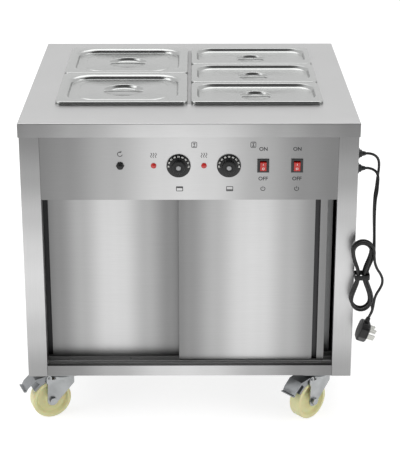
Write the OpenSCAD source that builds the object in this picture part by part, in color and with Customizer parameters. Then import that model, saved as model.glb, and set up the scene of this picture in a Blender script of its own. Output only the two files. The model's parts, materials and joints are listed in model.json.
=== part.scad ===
// Heated plate cabinet on castors, with a water bath for five covered food pans on top.
// Millimetres, +Z up, front towards -Y, origin on the floor under the cabinet's middle.
// Depths called t are measured back from the front of the top plate.

/* [Cabinet] */
// Width over the top plate
top_w = 805; // [790:5:900]
// Depth over the top plate
top_d = 750; // [740:5:850]
// Height from the floor to the top plate
total_h = 790; // [780:5:880]
// Thickness of the top plate
top_sheet = 1.5; // [1:0.1:2]
// Height of the top plate's folded edge
apron_h = 34.5; // [25:0.5:36]
// Radius of the fold along the top plate's edge
top_fold_r = 2.5; // [2:0.5:4]
// How far the top plate stands out past the body
top_overhang = 2.5; // [2:0.5:5]
// Thickness of the body's sheet
sheet = 1.2; // [0.8:0.1:1.5]
// How far the cabinet sits back, which centres it over its castors and knobs
back_shift = 14; // [5:1:18]
// Width of each front post's face
post_w = 47.5; // [40:0.5:60]
// Depth of each front post's inner return
post_return = 18; // [12:1:20]
// Width of the flange that holds the back panel
back_flange = 20; // [15:1:30]

/* [Pans] */
// Length of every pan, across the cabinet
pan_l = 325; // [300:1:330]
// Width of a half-size pan, from front to back
half_pan_w = 265; // [250:1:266]
// Width of a third-size pan, from front to back
third_pan_w = 176; // [165:0.5:177]
// Clearance round each pan's rim
rim_gap = 0.5; // [0.3:0.1:1.5]
// Clearance round each lid's edge
lid_gap = 1; // [0.5:0.1:2]
// Depth of the pans
pan_depth = 100; // [65:5:100]
// Thickness of the pans and their lids
pan_sheet = 1; // [0.7:0.1:1.2]
// Width of a pan's rim
rim_w = 12; // [10:0.5:14]
// Height of a pan's rim over the top plate
rim_h = 2; // [1.5:0.5:3]
// Gap between the two columns of pans
column_gap = 7; // [4:0.5:10]
// Depth from the front of the cabinet to the first pan
pans_t = 147; // [140:1:170]
// Height of a lid's rolled edge
lid_h = 6.5; // [5:0.5:8]
// Width of a lid's flat border
lid_border = 24; // [22:1:30]
// Depth of a lid's sunken field
field_depth = 9; // [7:0.5:12]
// Diameter of the hand dish in a half-size lid
half_dish_d = 103; // [90:1:110]
// Diameter of the hand dish in a third-size lid
third_dish_d = 79; // [70:1:84]
// Depth of the hand dish under the field
dish_depth = 9; // [7:0.5:12]
// Width of the bar across the hand dish
dish_bar_w = 9; // [7:0.5:14]

/* [Water bath] */
// Depth of the water tank
tank_depth = 135; // [130:1:140]
// How far the pans' rims bear on the top plate
rim_bearing = 8; // [6:0.5:9]
// Corner radius of the tank
tank_r = 22; // [15:1:30]
// Width of the bars between the pans
bar_w = 12; // [10:1:14]
// Height of the bars between the pans
bar_h = 18; // [12:1:25]
// Diameter of a heating element's tube
element_d = 8; // [6:0.5:10]
// Spacing of a heating element's runs
element_pitch = 90; // [70:5:95]
// Height of the water heater over the tank's floor
element_lift = 10; // [8:1:12]

/* [Cupboard] */
// Height of the door opening's lower edge, above the rail's top
sill_h = 27.2; // [25:0.2:35]
// Depth of the control panel, from the top plate down
panel_drop = 192; // [180:1:196]
// How far the control panel is set back from the posts
panel_inset = 2; // [1:0.5:4]
// Distance from the body's side to a liner's inner face
liner_inset = 65; // [60:1:80]
// Width of a liner's front edge
liner_edge = 15.5; // [10:0.5:16]
// Depth of the liners' front edge
liner_t = 74; // [73.5:0.5:90]
// Height of the shelf over the cupboard's floor
shelf_lift = 220; // [150:5:300]
// Width of the ledge that carries the shelf
ledge_w = 16; // [12:1:25]
// Depth of the shelf's folded front edge
shelf_fold = 20; // [12:1:30]
// Height of the ceiling over the door opening
ceiling_lift = 28; // [26:0.5:30]
// Height of the guard over the cupboard's heater
guard_h = 40; // [36:1:60]

/* [Doors] */
// Gap between the front door's outer edge and the liner
door_reveal = 2; // [0.5:0.5:15]
// Thickness of a sliding door
door_thick = 18; // [14:0.5:20]
// Depth of the front door's face
door_t = 25; // [23.5:0.5:26]
// Depth from the front door's face to the rear door's
door_pitch = 24; // [22:0.5:24]
// Clearance under a door
door_gap = 1.5; // [1:0.1:3]
// How far the doors overlap when they are closed
door_overlap = 13; // [5:1:20]
// Place of the front door's inner edge, left of the middle
door_lap_x = 26; // [20:1:30]
// Width of the finger groove
groove_w = 12; // [10:0.5:20]
// Depth of the finger groove
groove_depth = 11; // [8:0.5:12]
// Width of the flange outside the finger groove
flange_w = 17.5; // [12:0.5:25]
// Thickness of a door's sheet
door_sheet = 1; // [0.8:0.1:1.2]
// Thickness of the lower track's plate
track_t = 1.5; // [1:0.1:2]
// Height of the lower track's ribs
rib_h = 4; // [3:0.5:6]

/* [Controls] */
// Height of the controls under the top plate
controls_drop = 106; // [90:1:120]
// Diameter of a knob's skirt
knob_d = 57; // [45:1:60]
// Reach of a knob in front of the control panel
knob_reach = 20; // [16:0.5:24]
// Diameter of a knob's spindle
spindle_d = 6; // [5:0.5:8]
// Running clearance of a spindle, on the radius
spindle_fit = 0.05; // [0.02:0.01:0.09]
// Diameter of a pilot lamp's lens
lamp_d = 13.5; // [10:0.5:16]
// Diameter of the reset button's collar
reset_d = 20; // [16:0.5:24]
// Travel of the reset button
reset_travel = 3; // [2:0.5:4]
// Width of a switch's bezel
bezel_w = 28; // [26:0.5:34]
// Height of a switch's bezel
bezel_h = 33; // [30:0.5:40]
// Width of a switch's rocker
rocker_w = 15; // [12:0.5:18]
// Height of a switch's rocker
rocker_h = 24; // [20:0.5:26]
// Angle that a rocker tips to each side of level
rocker_tip = 8; // [5:1:10]
// Reach of a cable gland
gland_reach = 21; // [16:0.5:24]

/* [Castors] */
// Diameter of a castor's wheel
wheel_d = 100; // [95:1:105]
// Width of a wheel's tread
wheel_w = 32; // [26:1:34]
// Running clearance of a wheel on its axle, on the radius
axle_fit = 0.05; // [0.02:0.01:0.09]
// Diameter of an axle
axle_d = 12; // [10:0.5:12]
// Distance that a wheel trails behind its swivel
trail = 33; // [30:0.5:36]
// Distance of the swivels from the body's sides
swivel_inset = 78; // [75:1:100]
// Depth of the front swivels, and the rear ones from the back
swivel_t = 60; // [55:1:80]
// Size of a castor's plate
plate_l = 100; // [92:1:110]
// Thickness of a castor's plate
plate_t = 3; // [2.5:0.1:4]
// Thickness of a fork's sheet
fork_sheet = 3; // [2.5:0.1:3.5]
// Reach of a brake pedal from its swivel
pedal_reach = 107; // [104:1:115]
// Width of a brake pedal
pedal_w = 42; // [38:1:46]

/* [Mains leads] */
// Diameter of the leads
cord_d = 6.5; // [6:0.1:7]
// Length of a hank's straight runs
hank_run = 128; // [100:1:130]
// Clearance between a hank's loops
hank_gap = 0.9; // [0.8:0.1:1.2]

/* [Hidden] */
$fn = 48;
steel = [0.76, 0.76, 0.75];
dark_steel = [0.55, 0.55, 0.55];
zinc = [0.62, 0.63, 0.64];
black = [0.09, 0.09, 0.1];
red = [0.78, 0.16, 0.13];
nylon = [0.87, 0.85, 0.68];
slack = 0.01;
over = 1;

// Planes and edges that many pieces share
front_y = back_shift - top_d / 2;
top_cy = back_shift;
body_w = top_w - 2 * top_overhang;
body_d = top_d - 2 * top_overhang;
body_x = body_w / 2;
post_x = body_x - post_w;
liner_x = body_x - liner_inset;
door_w = liner_x - door_reveal + door_lap_x;
swivel_x = body_x - swivel_inset;
body_front = top_overhang;
body_back = top_d - top_overhang;
body_top = total_h - top_sheet;

// Castor heights, stacked from the floor up
crown_gap = 2;
crown_t = 5;
lower_race_h = 10;
race_gap = 0.5;
upper_race_h = 9.5;
crown_z = wheel_d + crown_gap;
lower_race_z = crown_z + crown_t;
upper_race_z = lower_race_z + lower_race_h + race_gap;
plate_z = upper_race_z + upper_race_h;
body_z = plate_z + plate_t;

// Cupboard heights
floor_top = body_z + 2 + sill_h;
track_top = floor_top + track_t;
door_z = track_top + door_gap;
opening_top = total_h - panel_drop;
ceiling_z = opening_top + ceiling_lift;
shelf_z = floor_top + shelf_lift;
rail_z = body_z + 2;
panel_t = body_front + panel_inset;

// Pan field
field_w = 2 * pan_l + column_gap;
field_d = max(2 * half_pan_w, 3 * third_pan_w);
mouth_w = field_w - 2 * rim_bearing;
mouth_d = field_d - 2 * rim_bearing;
well_t = pans_t + field_d / 2;
left_pan_x = -(column_gap + pan_l) / 2;
right_pan_x = -left_pan_x;
half_t = [for (i = [0, 1]) well_t + (i - 0.5) * field_d / 2];
third_t = [for (i = [0 : 2]) well_t + (i - 1) * field_d / 3];
tank_z = body_top - tank_depth;

// Places on the control panel
reset_x = -163;
lamp_x = [-84, 35];
knob_x = [-25, 94];
switch_x = [175, 255];
controls_z = total_h - controls_drop;
gland_drop = [88, 125];
gland_t = 40;

// Moves a piece to depth t
module deep(t) { translate([0, front_y + t, 0]) children(); }

// Rounded rectangle, centred
module rounded(w, d, r) {
    square([w - 2 * r, d], center = true);
    square([w, d - 2 * r], center = true);
    for (x = [-1, 1], y = [-1, 1])
        translate([x * (w / 2 - r), y * (d / 2 - r)]) circle(r);
}

// Upright rounded block
module block(w, d, h, r) { linear_extrude(h) rounded(w, d, r); }

// Outline of a wall's height, with its two upper corners rounded
module arched(w, h, e) {
    translate([-w / 2, 0]) square([w, h - e]);
    translate([e - w / 2, 0]) square([w - 2 * e, h]);
    for (s = [-1, 1]) translate([s * (w / 2 - e), h - e]) circle(e);
}

// Rounded block whose upper edges are rounded too
module crowned(w, d, h, r, e) {
    intersection() {
        block(w, d, h, r);
        rotate([90, 0, 0]) linear_extrude(d + over, center = true) arched(w, h, e);
        rotate([90, 0, 90]) linear_extrude(w + over, center = true) arched(d, h, e);
    }
}

// Cylinder that points back, along +Y, from depth t
module back_rod(x, t, z, r, l) {
    translate([x, front_y + t, z]) rotate([-90, 0, 0]) cylinder(h = l, r = r);
}

// Bar between two depths: x centre, width, depth range, height range
module slab(x, w, t0, t1, z0, z1) {
    translate([x - w / 2, front_y + t0, z0]) cube([w, t1 - t0, z1 - z0]);
}

// ---- Top ----

module top_plate() {
    color(steel) difference() {
        translate([0, top_cy, total_h - apron_h])
            crowned(top_w, top_d, apron_h, top_fold_r + slack, top_fold_r);
        translate([0, top_cy, total_h - apron_h - over])
            block(top_w - 2 * top_sheet, top_d - 2 * top_sheet, apron_h - top_sheet + over, 1);
        deep(well_t) translate([0, 0, total_h - 2 * top_sheet])
            block(mouth_w, mouth_d, 3 * top_sheet, tank_r);
    }
}

module well_tank() {
    color(steel) deep(well_t) translate([0, 0, tank_z]) difference() {
        translate([0, 0, -sheet])
            block(mouth_w + 2 * sheet, mouth_d + 2 * sheet, tank_depth + sheet, tank_r + sheet);
        block(mouth_w, mouth_d, tank_depth + over, tank_r);
        for (s = [-1, 1])
            translate([s * 1.5 * element_pitch, 0, element_lift + element_d / 2]) rotate([90, 0, 0])
                cylinder(h = mouth_d, r = element_d / 2 + slack);
    }
}

module pan_divider() {
    color(steel) {
        slab(0, bar_w, well_t - mouth_d / 2, well_t + mouth_d / 2, total_h - bar_h, total_h);
        slab(-mouth_w / 4, mouth_w / 2, well_t - bar_w / 2, well_t + bar_w / 2,
            total_h - bar_h, total_h);
        for (s = [-1, 1])
            slab(mouth_w / 4, mouth_w / 2, well_t + s * field_d / 6 - bar_w / 2,
                well_t + s * field_d / 6 + bar_w / 2, total_h - bar_h, total_h);
    }
}

pan_r = 16;
pan_body_r = 28;

// Open pan: a rim with a turned-down edge over a deep body
module pan(x, t, w) {
    rim_l = pan_l - 2 * rim_gap;
    rim_d = w - 2 * rim_gap;
    color(steel) translate([x, front_y + t, total_h]) difference() {
        union() {
            block(rim_l, rim_d, rim_h, pan_r);
            translate([0, 0, -pan_depth])
                block(rim_l - 2 * rim_w, rim_d - 2 * rim_w, pan_depth + rim_h, pan_body_r);
        }
        translate([0, 0, -over]) difference() {
            block(rim_l - 2 * pan_sheet, rim_d - 2 * pan_sheet, rim_h - pan_sheet + over,
                pan_r - pan_sheet);
            translate([0, 0, -over])
                block(rim_l - 2 * rim_w, rim_d - 2 * rim_w, rim_h + 3 * over, pan_body_r);
        }
        translate([0, 0, pan_sheet - pan_depth])
            block(rim_l - 2 * (rim_w + pan_sheet), rim_d - 2 * (rim_w + pan_sheet),
                pan_depth + rim_h, pan_body_r - pan_sheet);
    }
}

lid_edge_r = 3;
field_r = 34;
step_inset = 26;
step_rise = 1.5;

// Lid: rolled edge, flat border, sunken field, shallow step and a hand dish with a bar
module lid(x, t, w, dish_d) {
    l = pan_l - 2 * lid_gap;
    d = w - 2 * lid_gap;
    field_l = l - 2 * lid_border;
    field_d = d - 2 * lid_border;
    floor_z = lid_h - field_depth;
    step = min(step_inset, (field_d - dish_d) / 4);
    color(steel) translate([x, front_y + t, total_h + rim_h]) {
        difference() {
            crowned(l, d, lid_h, pan_r + slack, lid_edge_r);
            translate([0, 0, -over])
                block(l - 2 * pan_sheet, d - 2 * pan_sheet, lid_h - lid_edge_r + over,
                    pan_r - pan_sheet);
            translate([0, 0, -over])
                block(l - 2 * lid_edge_r, d - 2 * lid_edge_r, lid_h - pan_sheet + over,
                    pan_r - lid_edge_r);
            translate([0, 0, -over]) block(field_l, field_d, lid_h + 2 * over, field_r);
        }
        difference() {
            translate([0, 0, floor_z - step_rise - pan_sheet])
                block(field_l + 2 * pan_sheet, field_d + 2 * pan_sheet,
                    field_depth + step_rise + pan_sheet, field_r + pan_sheet);
            translate([0, 0, floor_z]) block(field_l, field_d, field_depth + over, field_r);
            translate([0, 0, floor_z - step_rise])
                block(field_l - 2 * step, field_d - 2 * step, field_depth, field_r);
            translate([0, 0, floor_z - step_rise - pan_sheet - over]) difference() {
                block(field_l + 4 * pan_sheet, field_d + 4 * pan_sheet, step_rise + over,
                    field_r);
                block(field_l - 2 * step + 2 * pan_sheet, field_d - 2 * step + 2 * pan_sheet,
                    step_rise + over, field_r + pan_sheet);
            }
            translate([0, 0, floor_z - step_rise - 2 * pan_sheet])
                cylinder(h = field_depth, d = dish_d);
        }
        translate([0, 0, floor_z - step_rise]) dish(dish_d);
    }
}

dish_wall = 5;

// Round hand dish below z = 0, with the bar that the fingers take hold of
module dish(d) {
    rotate_extrude()
        polygon([[0, -dish_depth - pan_sheet], [d / 2 - dish_wall, -dish_depth - pan_sheet],
            [d / 2 + pan_sheet, -pan_sheet], [d / 2 + pan_sheet, 0], [d / 2 - pan_sheet, 0],
            [d / 2 - dish_wall - pan_sheet, -dish_depth], [0, -dish_depth]]);
    translate([-(d / 2), -dish_bar_w / 2, -2.5]) cube([d, dish_bar_w, 2.5]);
}

// ---- Body ----

side_fold_r = 2;

// Folded side: outer skin, front post with its return, rear flange and lower flange
module side_panel() {
    color(steel) {
        translate([0, front_y, body_z]) linear_extrude(body_top - body_z) difference() {
            translate([body_x - post_w / 2, (body_front + body_back) / 2])
                rounded(post_w, body_d, side_fold_r);
            translate([body_x - post_w / 2, (body_front + body_back) / 2])
                rounded(post_w - 2 * sheet, body_d - 2 * sheet, side_fold_r - sheet);
            translate([post_x - over, body_front + post_return])
                square([sheet + 2 * over, body_d]);
            translate([post_x - over, body_back - 3 * sheet])
                square([post_w - back_flange + over, 4 * sheet]);
        }
        slab(body_x - back_flange / 2 - sheet / 2, back_flange - sheet,
            body_front + post_return, body_back - sheet, body_z, body_z + sheet);
    }
}

module left_side_panel() { mirror([1, 0, 0]) side_panel(); }

module right_side_panel() {
    color(steel) difference() {
        side_panel();
        for (drop = gland_drop)
            translate([body_x - 2 * sheet, front_y + gland_t, total_h - drop])
                rotate([0, 90, 0]) cylinder(h = 4 * sheet, r = gland_thread_d / 2 + hole_fit);
    }
}

back_inset = 2 * sheet;
vent_w = 60;
vent_h = 6;
vent_pitch = 16;

module back_panel() {
    half = body_x - side_fold_r;
    color(steel) difference() {
        slab(0, 2 * half, body_back - back_inset, body_back - sheet, body_z + sheet, body_top);
        for (x = [-1, 1], row = [0 : 5])
            slab(x * body_w / 4, vent_w, body_back - 2 * back_inset, body_back + over,
                body_z + 60 + row * vent_pitch, body_z + 60 + row * vent_pitch + vent_h);
    }
}

rail_lip = 6;

module base_panel() {
    half = body_x - sheet;
    notch = post_w + 2 * slack;
    color(steel) {
        difference() {
            slab(0, 2 * half, body_front, body_back - back_inset, floor_top - sheet, floor_top);
            for (s = [-1, 1])
                slab(s * (body_x - notch / 2 + slack), notch, 0, body_front + post_return,
                    floor_top - 2 * sheet, floor_top + over);
        }
        slab(0, 2 * post_x, body_front, body_front + sheet, rail_z, floor_top);
        slab(0, 2 * post_x, body_front, body_front + rail_lip, rail_z, rail_z + sheet);
    }
}

channel_w = 112;
channel_sheet = 2;
channel_gap = 0.5;

module castor_channels() {
    t0 = body_front + post_return + channel_gap;
    t1 = body_back - back_inset;
    color(dark_steel) for (s = [-1, 1]) difference() {
        slab(s * swivel_x, channel_w, t0, t1, body_z, floor_top - sheet);
        slab(s * swivel_x, channel_w - 2 * channel_sheet, t0 - over, t1 + over,
            body_z + channel_sheet, floor_top);
    }
}

panel_flange = 14;
lamp_hole = 9;
reset_hole = 14;
switch_hole_w = 22;
switch_hole_h = 28;
hole_fit = 0.1;

module control_panel() {
    color(steel) difference() {
        union() {
            slab(0, 2 * post_x, panel_t, panel_t + sheet, opening_top, body_top);
            slab(0, 2 * post_x, panel_t, panel_t + panel_flange, opening_top,
                opening_top + sheet);
        }
        for (x = knob_x) back_rod(x, panel_t - over, controls_z, bushing_d / 2 + hole_fit, 4);
        for (x = lamp_x) back_rod(x, panel_t - over, controls_z, lamp_hole / 2 + hole_fit, 4);
        back_rod(reset_x, panel_t - over, controls_z, reset_hole / 2 + hole_fit, 4);
        for (x = switch_x)
            slab(x, switch_hole_w, panel_t - over, panel_t + 3, controls_z - switch_hole_h / 2,
                controls_z + switch_hole_h / 2);
    }
}

// ---- Cupboard ----

module liner() {
    color(dark_steel) {
        slab(liner_x + sheet / 2, sheet, liner_t, body_back - back_inset, floor_top, ceiling_z);
        slab(liner_x + liner_edge / 2, liner_edge, liner_t, liner_t + sheet, floor_top, ceiling_z);
        slab(liner_x - ledge_w / 2, ledge_w, shelf_t0, shelf_t1, shelf_z - 2 * sheet,
            shelf_z - sheet);
        slab(liner_x - sheet / 2, sheet, shelf_t0, shelf_t1, shelf_z - ledge_w, shelf_z - sheet);
    }
}

module left_liner() { mirror([1, 0, 0]) liner(); }

module right_liner() { liner(); }

module ceiling_panel() {
    color(dark_steel)
        slab(0, 2 * (body_x - sheet), panel_t + panel_flange + 2, body_back - back_inset,
            ceiling_z, ceiling_z + sheet);
}

shelf_gap = 1.2;
shelf_t0 = liner_t + 16;
shelf_t1 = body_back - 20;

module shelf() {
    half = liner_x - sheet - shelf_gap;
    color(steel) {
        slab(0, 2 * half, shelf_t0, shelf_t1, shelf_z - sheet, shelf_z);
        slab(0, 2 * (liner_x - ledge_w - shelf_gap), shelf_t0, shelf_t0 + sheet,
            shelf_z - shelf_fold, shelf_z);
        slab(0, 2 * (liner_x - ledge_w - shelf_gap), shelf_t1 - sheet, shelf_t1,
            shelf_z - shelf_fold, shelf_z);
    }
}

// Heating element: four runs joined by half turns, both ends at the front
module element(run) {
    r = element_d / 2;
    p = element_pitch;
    for (i = [0 : 3])
        translate([(i - 1.5) * p, run / 2, 0]) rotate([90, 0, 0])
            cylinder(h = i % 3 == 0 ? run + element_tail : run, r = r);
    for (x = [-1, 1])
        translate([x * p, run / 2, 0]) rotate_extrude(angle = 180) translate([p / 2, 0]) circle(r);
    translate([0, -run / 2, 0]) rotate([0, 0, 180]) rotate_extrude(angle = 180)
        translate([p / 2, 0]) circle(r);
}

element_tail = 60;
clip_w = 14;

module well_heater() {
    run = mouth_d - element_pitch - 3 * element_d;
    tail_end = -run / 2 - element_tail;
    color(dark_steel) deep(well_t) translate([0, 0, tank_z]) {
        translate([0, 0, element_lift + element_d / 2]) {
            element(run);
            for (s = [-1, 1])
                translate([s * 1.5 * element_pitch, tail_end, 0]) rotate([90, 0, 0])
                    cylinder(h = mouth_d / 2 + tail_end + 25, r = element_d / 2);
        }
        for (y = [-1, 1])
            translate([-1.5 * element_pitch - clip_w, y * run / 4 - clip_w / 2, 0])
                cube([3 * element_pitch + 2 * clip_w, clip_w, element_lift + element_d / 2]);
    }
}

heater_run = 300;
terminal_h = 19;
terminal_w = 22;
terminal_out = 20;

module cupboard_heater() {
    z = floor_top + element_lift + element_d / 2;
    color(dark_steel) deep(well_t) {
        translate([0, 0, z]) element(heater_run);
        for (y = [-1, 1])
            translate([-1.5 * element_pitch - clip_w, y * heater_run / 4 - clip_w / 2, floor_top])
                cube([3 * element_pitch + 2 * clip_w, clip_w, element_lift + element_d / 2]);
        translate([-1.5 * element_pitch - terminal_out,
            -heater_run / 2 - element_tail - terminal_out, floor_top])
            cube([3 * element_pitch + 2 * terminal_out, terminal_w, terminal_h]);
    }
}

guard_w = 420;
guard_d = 470;
guard_slot = 8;

module heater_guard() {
    t0 = well_t - guard_d / 2 - 10;
    t1 = t0 + guard_d;
    color(steel) difference() {
        slab(0, guard_w, t0, t1, floor_top, floor_top + guard_h);
        slab(0, guard_w - 2 * sheet, t0 + sheet, t1 - sheet, floor_top - over,
            floor_top + guard_h - sheet);
        for (x = [-3 : 3], y = [-4 : 4])
            slab(x * 52, 32, (t0 + t1) / 2 + y * 46 - guard_slot / 2,
                (t0 + t1) / 2 + y * 46 + guard_slot / 2, floor_top + guard_h - 2 * sheet,
                floor_top + guard_h + over);
    }
}

// ---- Doors and tracks ----

lip_h = 20;
lip_gap = (door_pitch - door_thick) / 2;

module upper_track() {
    t_lips = [door_t - lip_gap, door_t - lip_gap + door_pitch, door_t - lip_gap + 2 * door_pitch];
    color(dark_steel) {
        slab(0, 2 * (body_x - sheet - 4), t_lips[0] - sheet / 2, t_lips[2] + sheet / 2,
            ceiling_z - sheet, ceiling_z);
        for (t = t_lips)
            slab(0, 2 * (body_x - sheet - 4), t - sheet / 2, t + sheet / 2, ceiling_z - lip_h,
                ceiling_z);
    }
}

rib_w = 1.8;
sill_lip_t = 14;
sill_lip_w = 9;

module lower_track() {
    t_ribs = [door_t - lip_gap, door_t - lip_gap + door_pitch, door_t - lip_gap + 2 * door_pitch];
    half = body_x - sheet - slack;
    color(steel) difference() {
        union() {
            slab(0, 2 * half, sill_lip_t, liner_t, floor_top, track_top);
            slab(0, 2 * post_x, sill_lip_t, sill_lip_t + sill_lip_w - 2, track_top,
                track_top + 1.5);
            for (t = t_ribs) slab(0, 2 * half, t - rib_w / 2, t + rib_w / 2, floor_top, track_top + rib_h);
            for (i = [0, 1], lane = [0.35, 0.65])
                slab(0, 2 * half, door_t + i * door_pitch + lane * door_thick - 0.7,
                    door_t + i * door_pitch + lane * door_thick + 0.7, floor_top,
                    track_top + door_gap / 2);
        }
        for (s = [-1, 1])
            slab(s * (body_x - post_w / 2), post_w + 2 * slack, 0, body_front + post_return + slack,
                floor_top - over, track_top + rib_h + over);
    }
}

// Hollow door with a finger groove near its outer edge, drawn for the right-hand side
module door(x0, t) {
    x1 = x0 + door_w;
    groove_x = x1 - flange_w - groove_w;
    h = ceiling_z - sheet - 2.5 - door_z;
    color(steel) translate([0, front_y + t, door_z]) linear_extrude(h) difference() {
        translate([x0, 0]) square([door_w, door_thick]);
        translate([groove_x, -over]) square([groove_w, groove_depth + over]);
        translate([x0 + door_sheet, door_sheet])
            square([groove_x - x0 - 2 * door_sheet, door_thick - 2 * door_sheet]);
        translate([groove_x - 2 * door_sheet, groove_depth + door_sheet])
            square([groove_w + 4 * door_sheet, door_thick - groove_depth - 2 * door_sheet]);
        translate([groove_x + groove_w + door_sheet, door_sheet])
            square([flange_w - 2 * door_sheet, door_thick - 2 * door_sheet]);
    }
}

module right_door() { door(-door_lap_x, door_t); }

module left_door() {
    mirror([1, 0, 0]) door(door_lap_x - door_overlap, door_t + door_pitch);
}

// ---- Controls ----

bushing_d = 10;
thermostat_w = 44;
thermostat_l = 48;

module thermostats() {
    color(zinc) for (x = knob_x) difference() {
        union() {
            slab(x, thermostat_w, panel_t + sheet, panel_t + sheet + thermostat_l,
                controls_z - thermostat_w / 2, controls_z + thermostat_w / 2);
            back_rod(x, panel_t, controls_z, bushing_d / 2, sheet + 2);
        }
        back_rod(x, panel_t - over, controls_z, spindle_d / 2 + spindle_fit, 22);
    }
}

skirt_t = 3;
knob_gap = 0.8;
grip_d = 33;
knob_cap_d = 12;

// Knob with a dial skirt, a round grip, a pointer rib, a bright cap and its spindle
module knob(x) {
    translate([x, front_y + panel_t, controls_z]) rotate([90, 0, 0]) {
        color(black) {
            rotate_extrude()
                polygon([[0, knob_gap], [knob_d / 2 - 1, knob_gap], [knob_d / 2, knob_gap + 1],
                    [knob_d / 2, knob_gap + skirt_t - 1], [knob_d / 2 - 1.5, knob_gap + skirt_t],
                    [grip_d / 2 + 3, knob_gap + skirt_t + 2], [grip_d / 2, knob_gap + skirt_t + 4],
                    [grip_d / 2 - 1, knob_reach - 3], [grip_d / 2 - 3, knob_reach - 1],
                    [0, knob_reach - 1]]);
            translate([-2.5, -knob_d / 2 + 6, knob_gap])
                cube([5, knob_d / 2, knob_reach - knob_gap - 6]);
        }
        color(steel) cylinder(h = knob_reach, d = knob_cap_d);
        color(zinc) translate([0, 0, -18]) cylinder(h = 20, d = spindle_d);
    }
}

module top_knob() { knob(knob_x[0]); }

module bottom_knob() { knob(knob_x[1]); }

lamp_rim_h = 1.5;
lamp_body_l = 22;

module pilot_lamps() {
    color(red) for (x = lamp_x) {
        back_rod(x, panel_t - lamp_rim_h, controls_z, lamp_d / 2, lamp_rim_h);
        translate([x, front_y + panel_t - lamp_rim_h, controls_z]) rotate([90, 0, 0])
            intersection() {
                translate([0, 0, -lamp_d / 2]) sphere(r = lamp_d * 0.78);
                cylinder(h = lamp_d, d = lamp_d - 2);
            }
        back_rod(x, panel_t - over, controls_z, lamp_hole / 2, sheet + over);
        back_rod(x, panel_t + sheet, controls_z, lamp_hole / 2 + 1.5, lamp_body_l);
    }
}

reset_button_d = 9;
reset_collar_h = 6;

module reset_body() {
    color(black) difference() {
        union() {
            back_rod(reset_x, panel_t - reset_collar_h, controls_z, reset_d / 2, reset_collar_h);
            back_rod(reset_x, panel_t - over, controls_z, reset_hole / 2, sheet + over);
            back_rod(reset_x, panel_t + sheet, controls_z, reset_d / 2 + 2, 30);
        }
        back_rod(reset_x, panel_t - reset_collar_h - over, controls_z,
            reset_button_d / 2 + spindle_fit, 22);
    }
}

module reset_button() {
    color(black)
        back_rod(reset_x, panel_t - reset_collar_h - reset_travel - 1, controls_z,
            reset_button_d / 2, 16);
}

bezel_t = 3;
rocker_room = 0.6;
pocket = 10;
rocker_pivot_t = 5;
switch_body_l = 32;

module switch_bodies() {
    color(black) for (x = switch_x) difference() {
        union() {
            slab(x, bezel_w, panel_t - bezel_t, panel_t, controls_z - bezel_h / 2,
                controls_z + bezel_h / 2);
            slab(x, switch_hole_w - 2 * slack, panel_t - over, panel_t + switch_body_l,
                controls_z - switch_hole_h / 2 + slack, controls_z + switch_hole_h / 2 - slack);
        }
        slab(x, rocker_w + 2 * rocker_room, panel_t - bezel_t - over, panel_t + pocket,
            controls_z - rocker_h / 2 - rocker_room, controls_z + rocker_h / 2 + rocker_room);
        rocker_pin(x, rocker_pin_r + spindle_fit, rocker_pin_half + hole_fit);
    }
}

rocker_pin_r = 1.5;
rocker_pin_in = 2;
rocker_pin_half = rocker_w / 2 + rocker_room + rocker_pin_in;

// Pivot of a rocker, across its switch
module rocker_pin(x, r, half) {
    translate([x, front_y + panel_t + rocker_pivot_t, controls_z]) rotate([0, 90, 0])
        cylinder(h = 2 * half, r = r, center = true);
}

rocker_proud = 3;
rocker_back = 2.5;

// Rocker with a shallow V face, tipped with its upper half out
module rocker(x) {
    h = rocker_h / 2 - 1;
    rise = h * tan(rocker_tip);
    face = -rocker_pivot_t - bezel_t - rocker_proud;
    color(red) {
        translate([x - rocker_w / 2, front_y + panel_t + rocker_pivot_t, controls_z])
            rotate([rocker_tip, 0, 0]) rotate([90, 0, 90]) linear_extrude(rocker_w)
                polygon([[face, h], [face + rise, 0], [face, -h], [0, -h + 1], [rocker_back, 0],
                    [0, h - 1]]);
        rocker_pin(x, rocker_pin_r, rocker_pin_half);
    }
}

module left_rocker() { rocker(switch_x[0]); }

module right_rocker() { rocker(switch_x[1]); }

gland_thread_d = 16;
gland_nut_d = 24;
gland_nut_h = 6;
gland_tip_d = 13;

module cable_glands() {
    color(black) for (drop = gland_drop)
        translate([body_x, front_y + gland_t, total_h - drop]) rotate([0, 90, 0]) {
            cylinder(h = gland_nut_h, d = gland_nut_d, $fn = 6);
            rotate_extrude()
                polygon([[0, -14], [gland_thread_d / 2 - slack, -14], [gland_thread_d / 2 - slack, 0],
                    [gland_nut_d / 2 - 2.5, 0], [gland_nut_d / 2 - 2.5, gland_nut_h + 3],
                    [gland_tip_d / 2 + 1, gland_reach - 5], [gland_tip_d / 2, gland_reach],
                    [0, gland_reach]]);
            translate([0, 0, -sheet - 4]) cylinder(h = 4, d = gland_nut_d, $fn = 6);
        }
}

track_screw_x = 147.5;
track_screw_t = 27.2;
screw_head_d = 6;
back_screw_d = 8;

module screws() {
    color(zinc) {
        for (i = [-2 : 2])
            translate([i * track_screw_x, front_y + track_screw_t, floor_top - 6]) {
                cylinder(h = track_t + 6, d = 3);
                translate([0, 0, track_t + 6]) cylinder(h = 0.7, d = screw_head_d);
            }
        for (s = [-1, 1], i = [0 : 4])
            translate([s * (body_x - back_flange / 2), front_y + body_back,
                body_z + 40 + i * (body_top - body_z - apron_h - 80) / 4]) rotate([-90, 0, 0]) {
                cylinder(h = 2.2, d = back_screw_d);
                translate([0, 0, -8]) cylinder(h = 8, d = 4);
            }
    }
}

// ---- Castors ----

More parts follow.
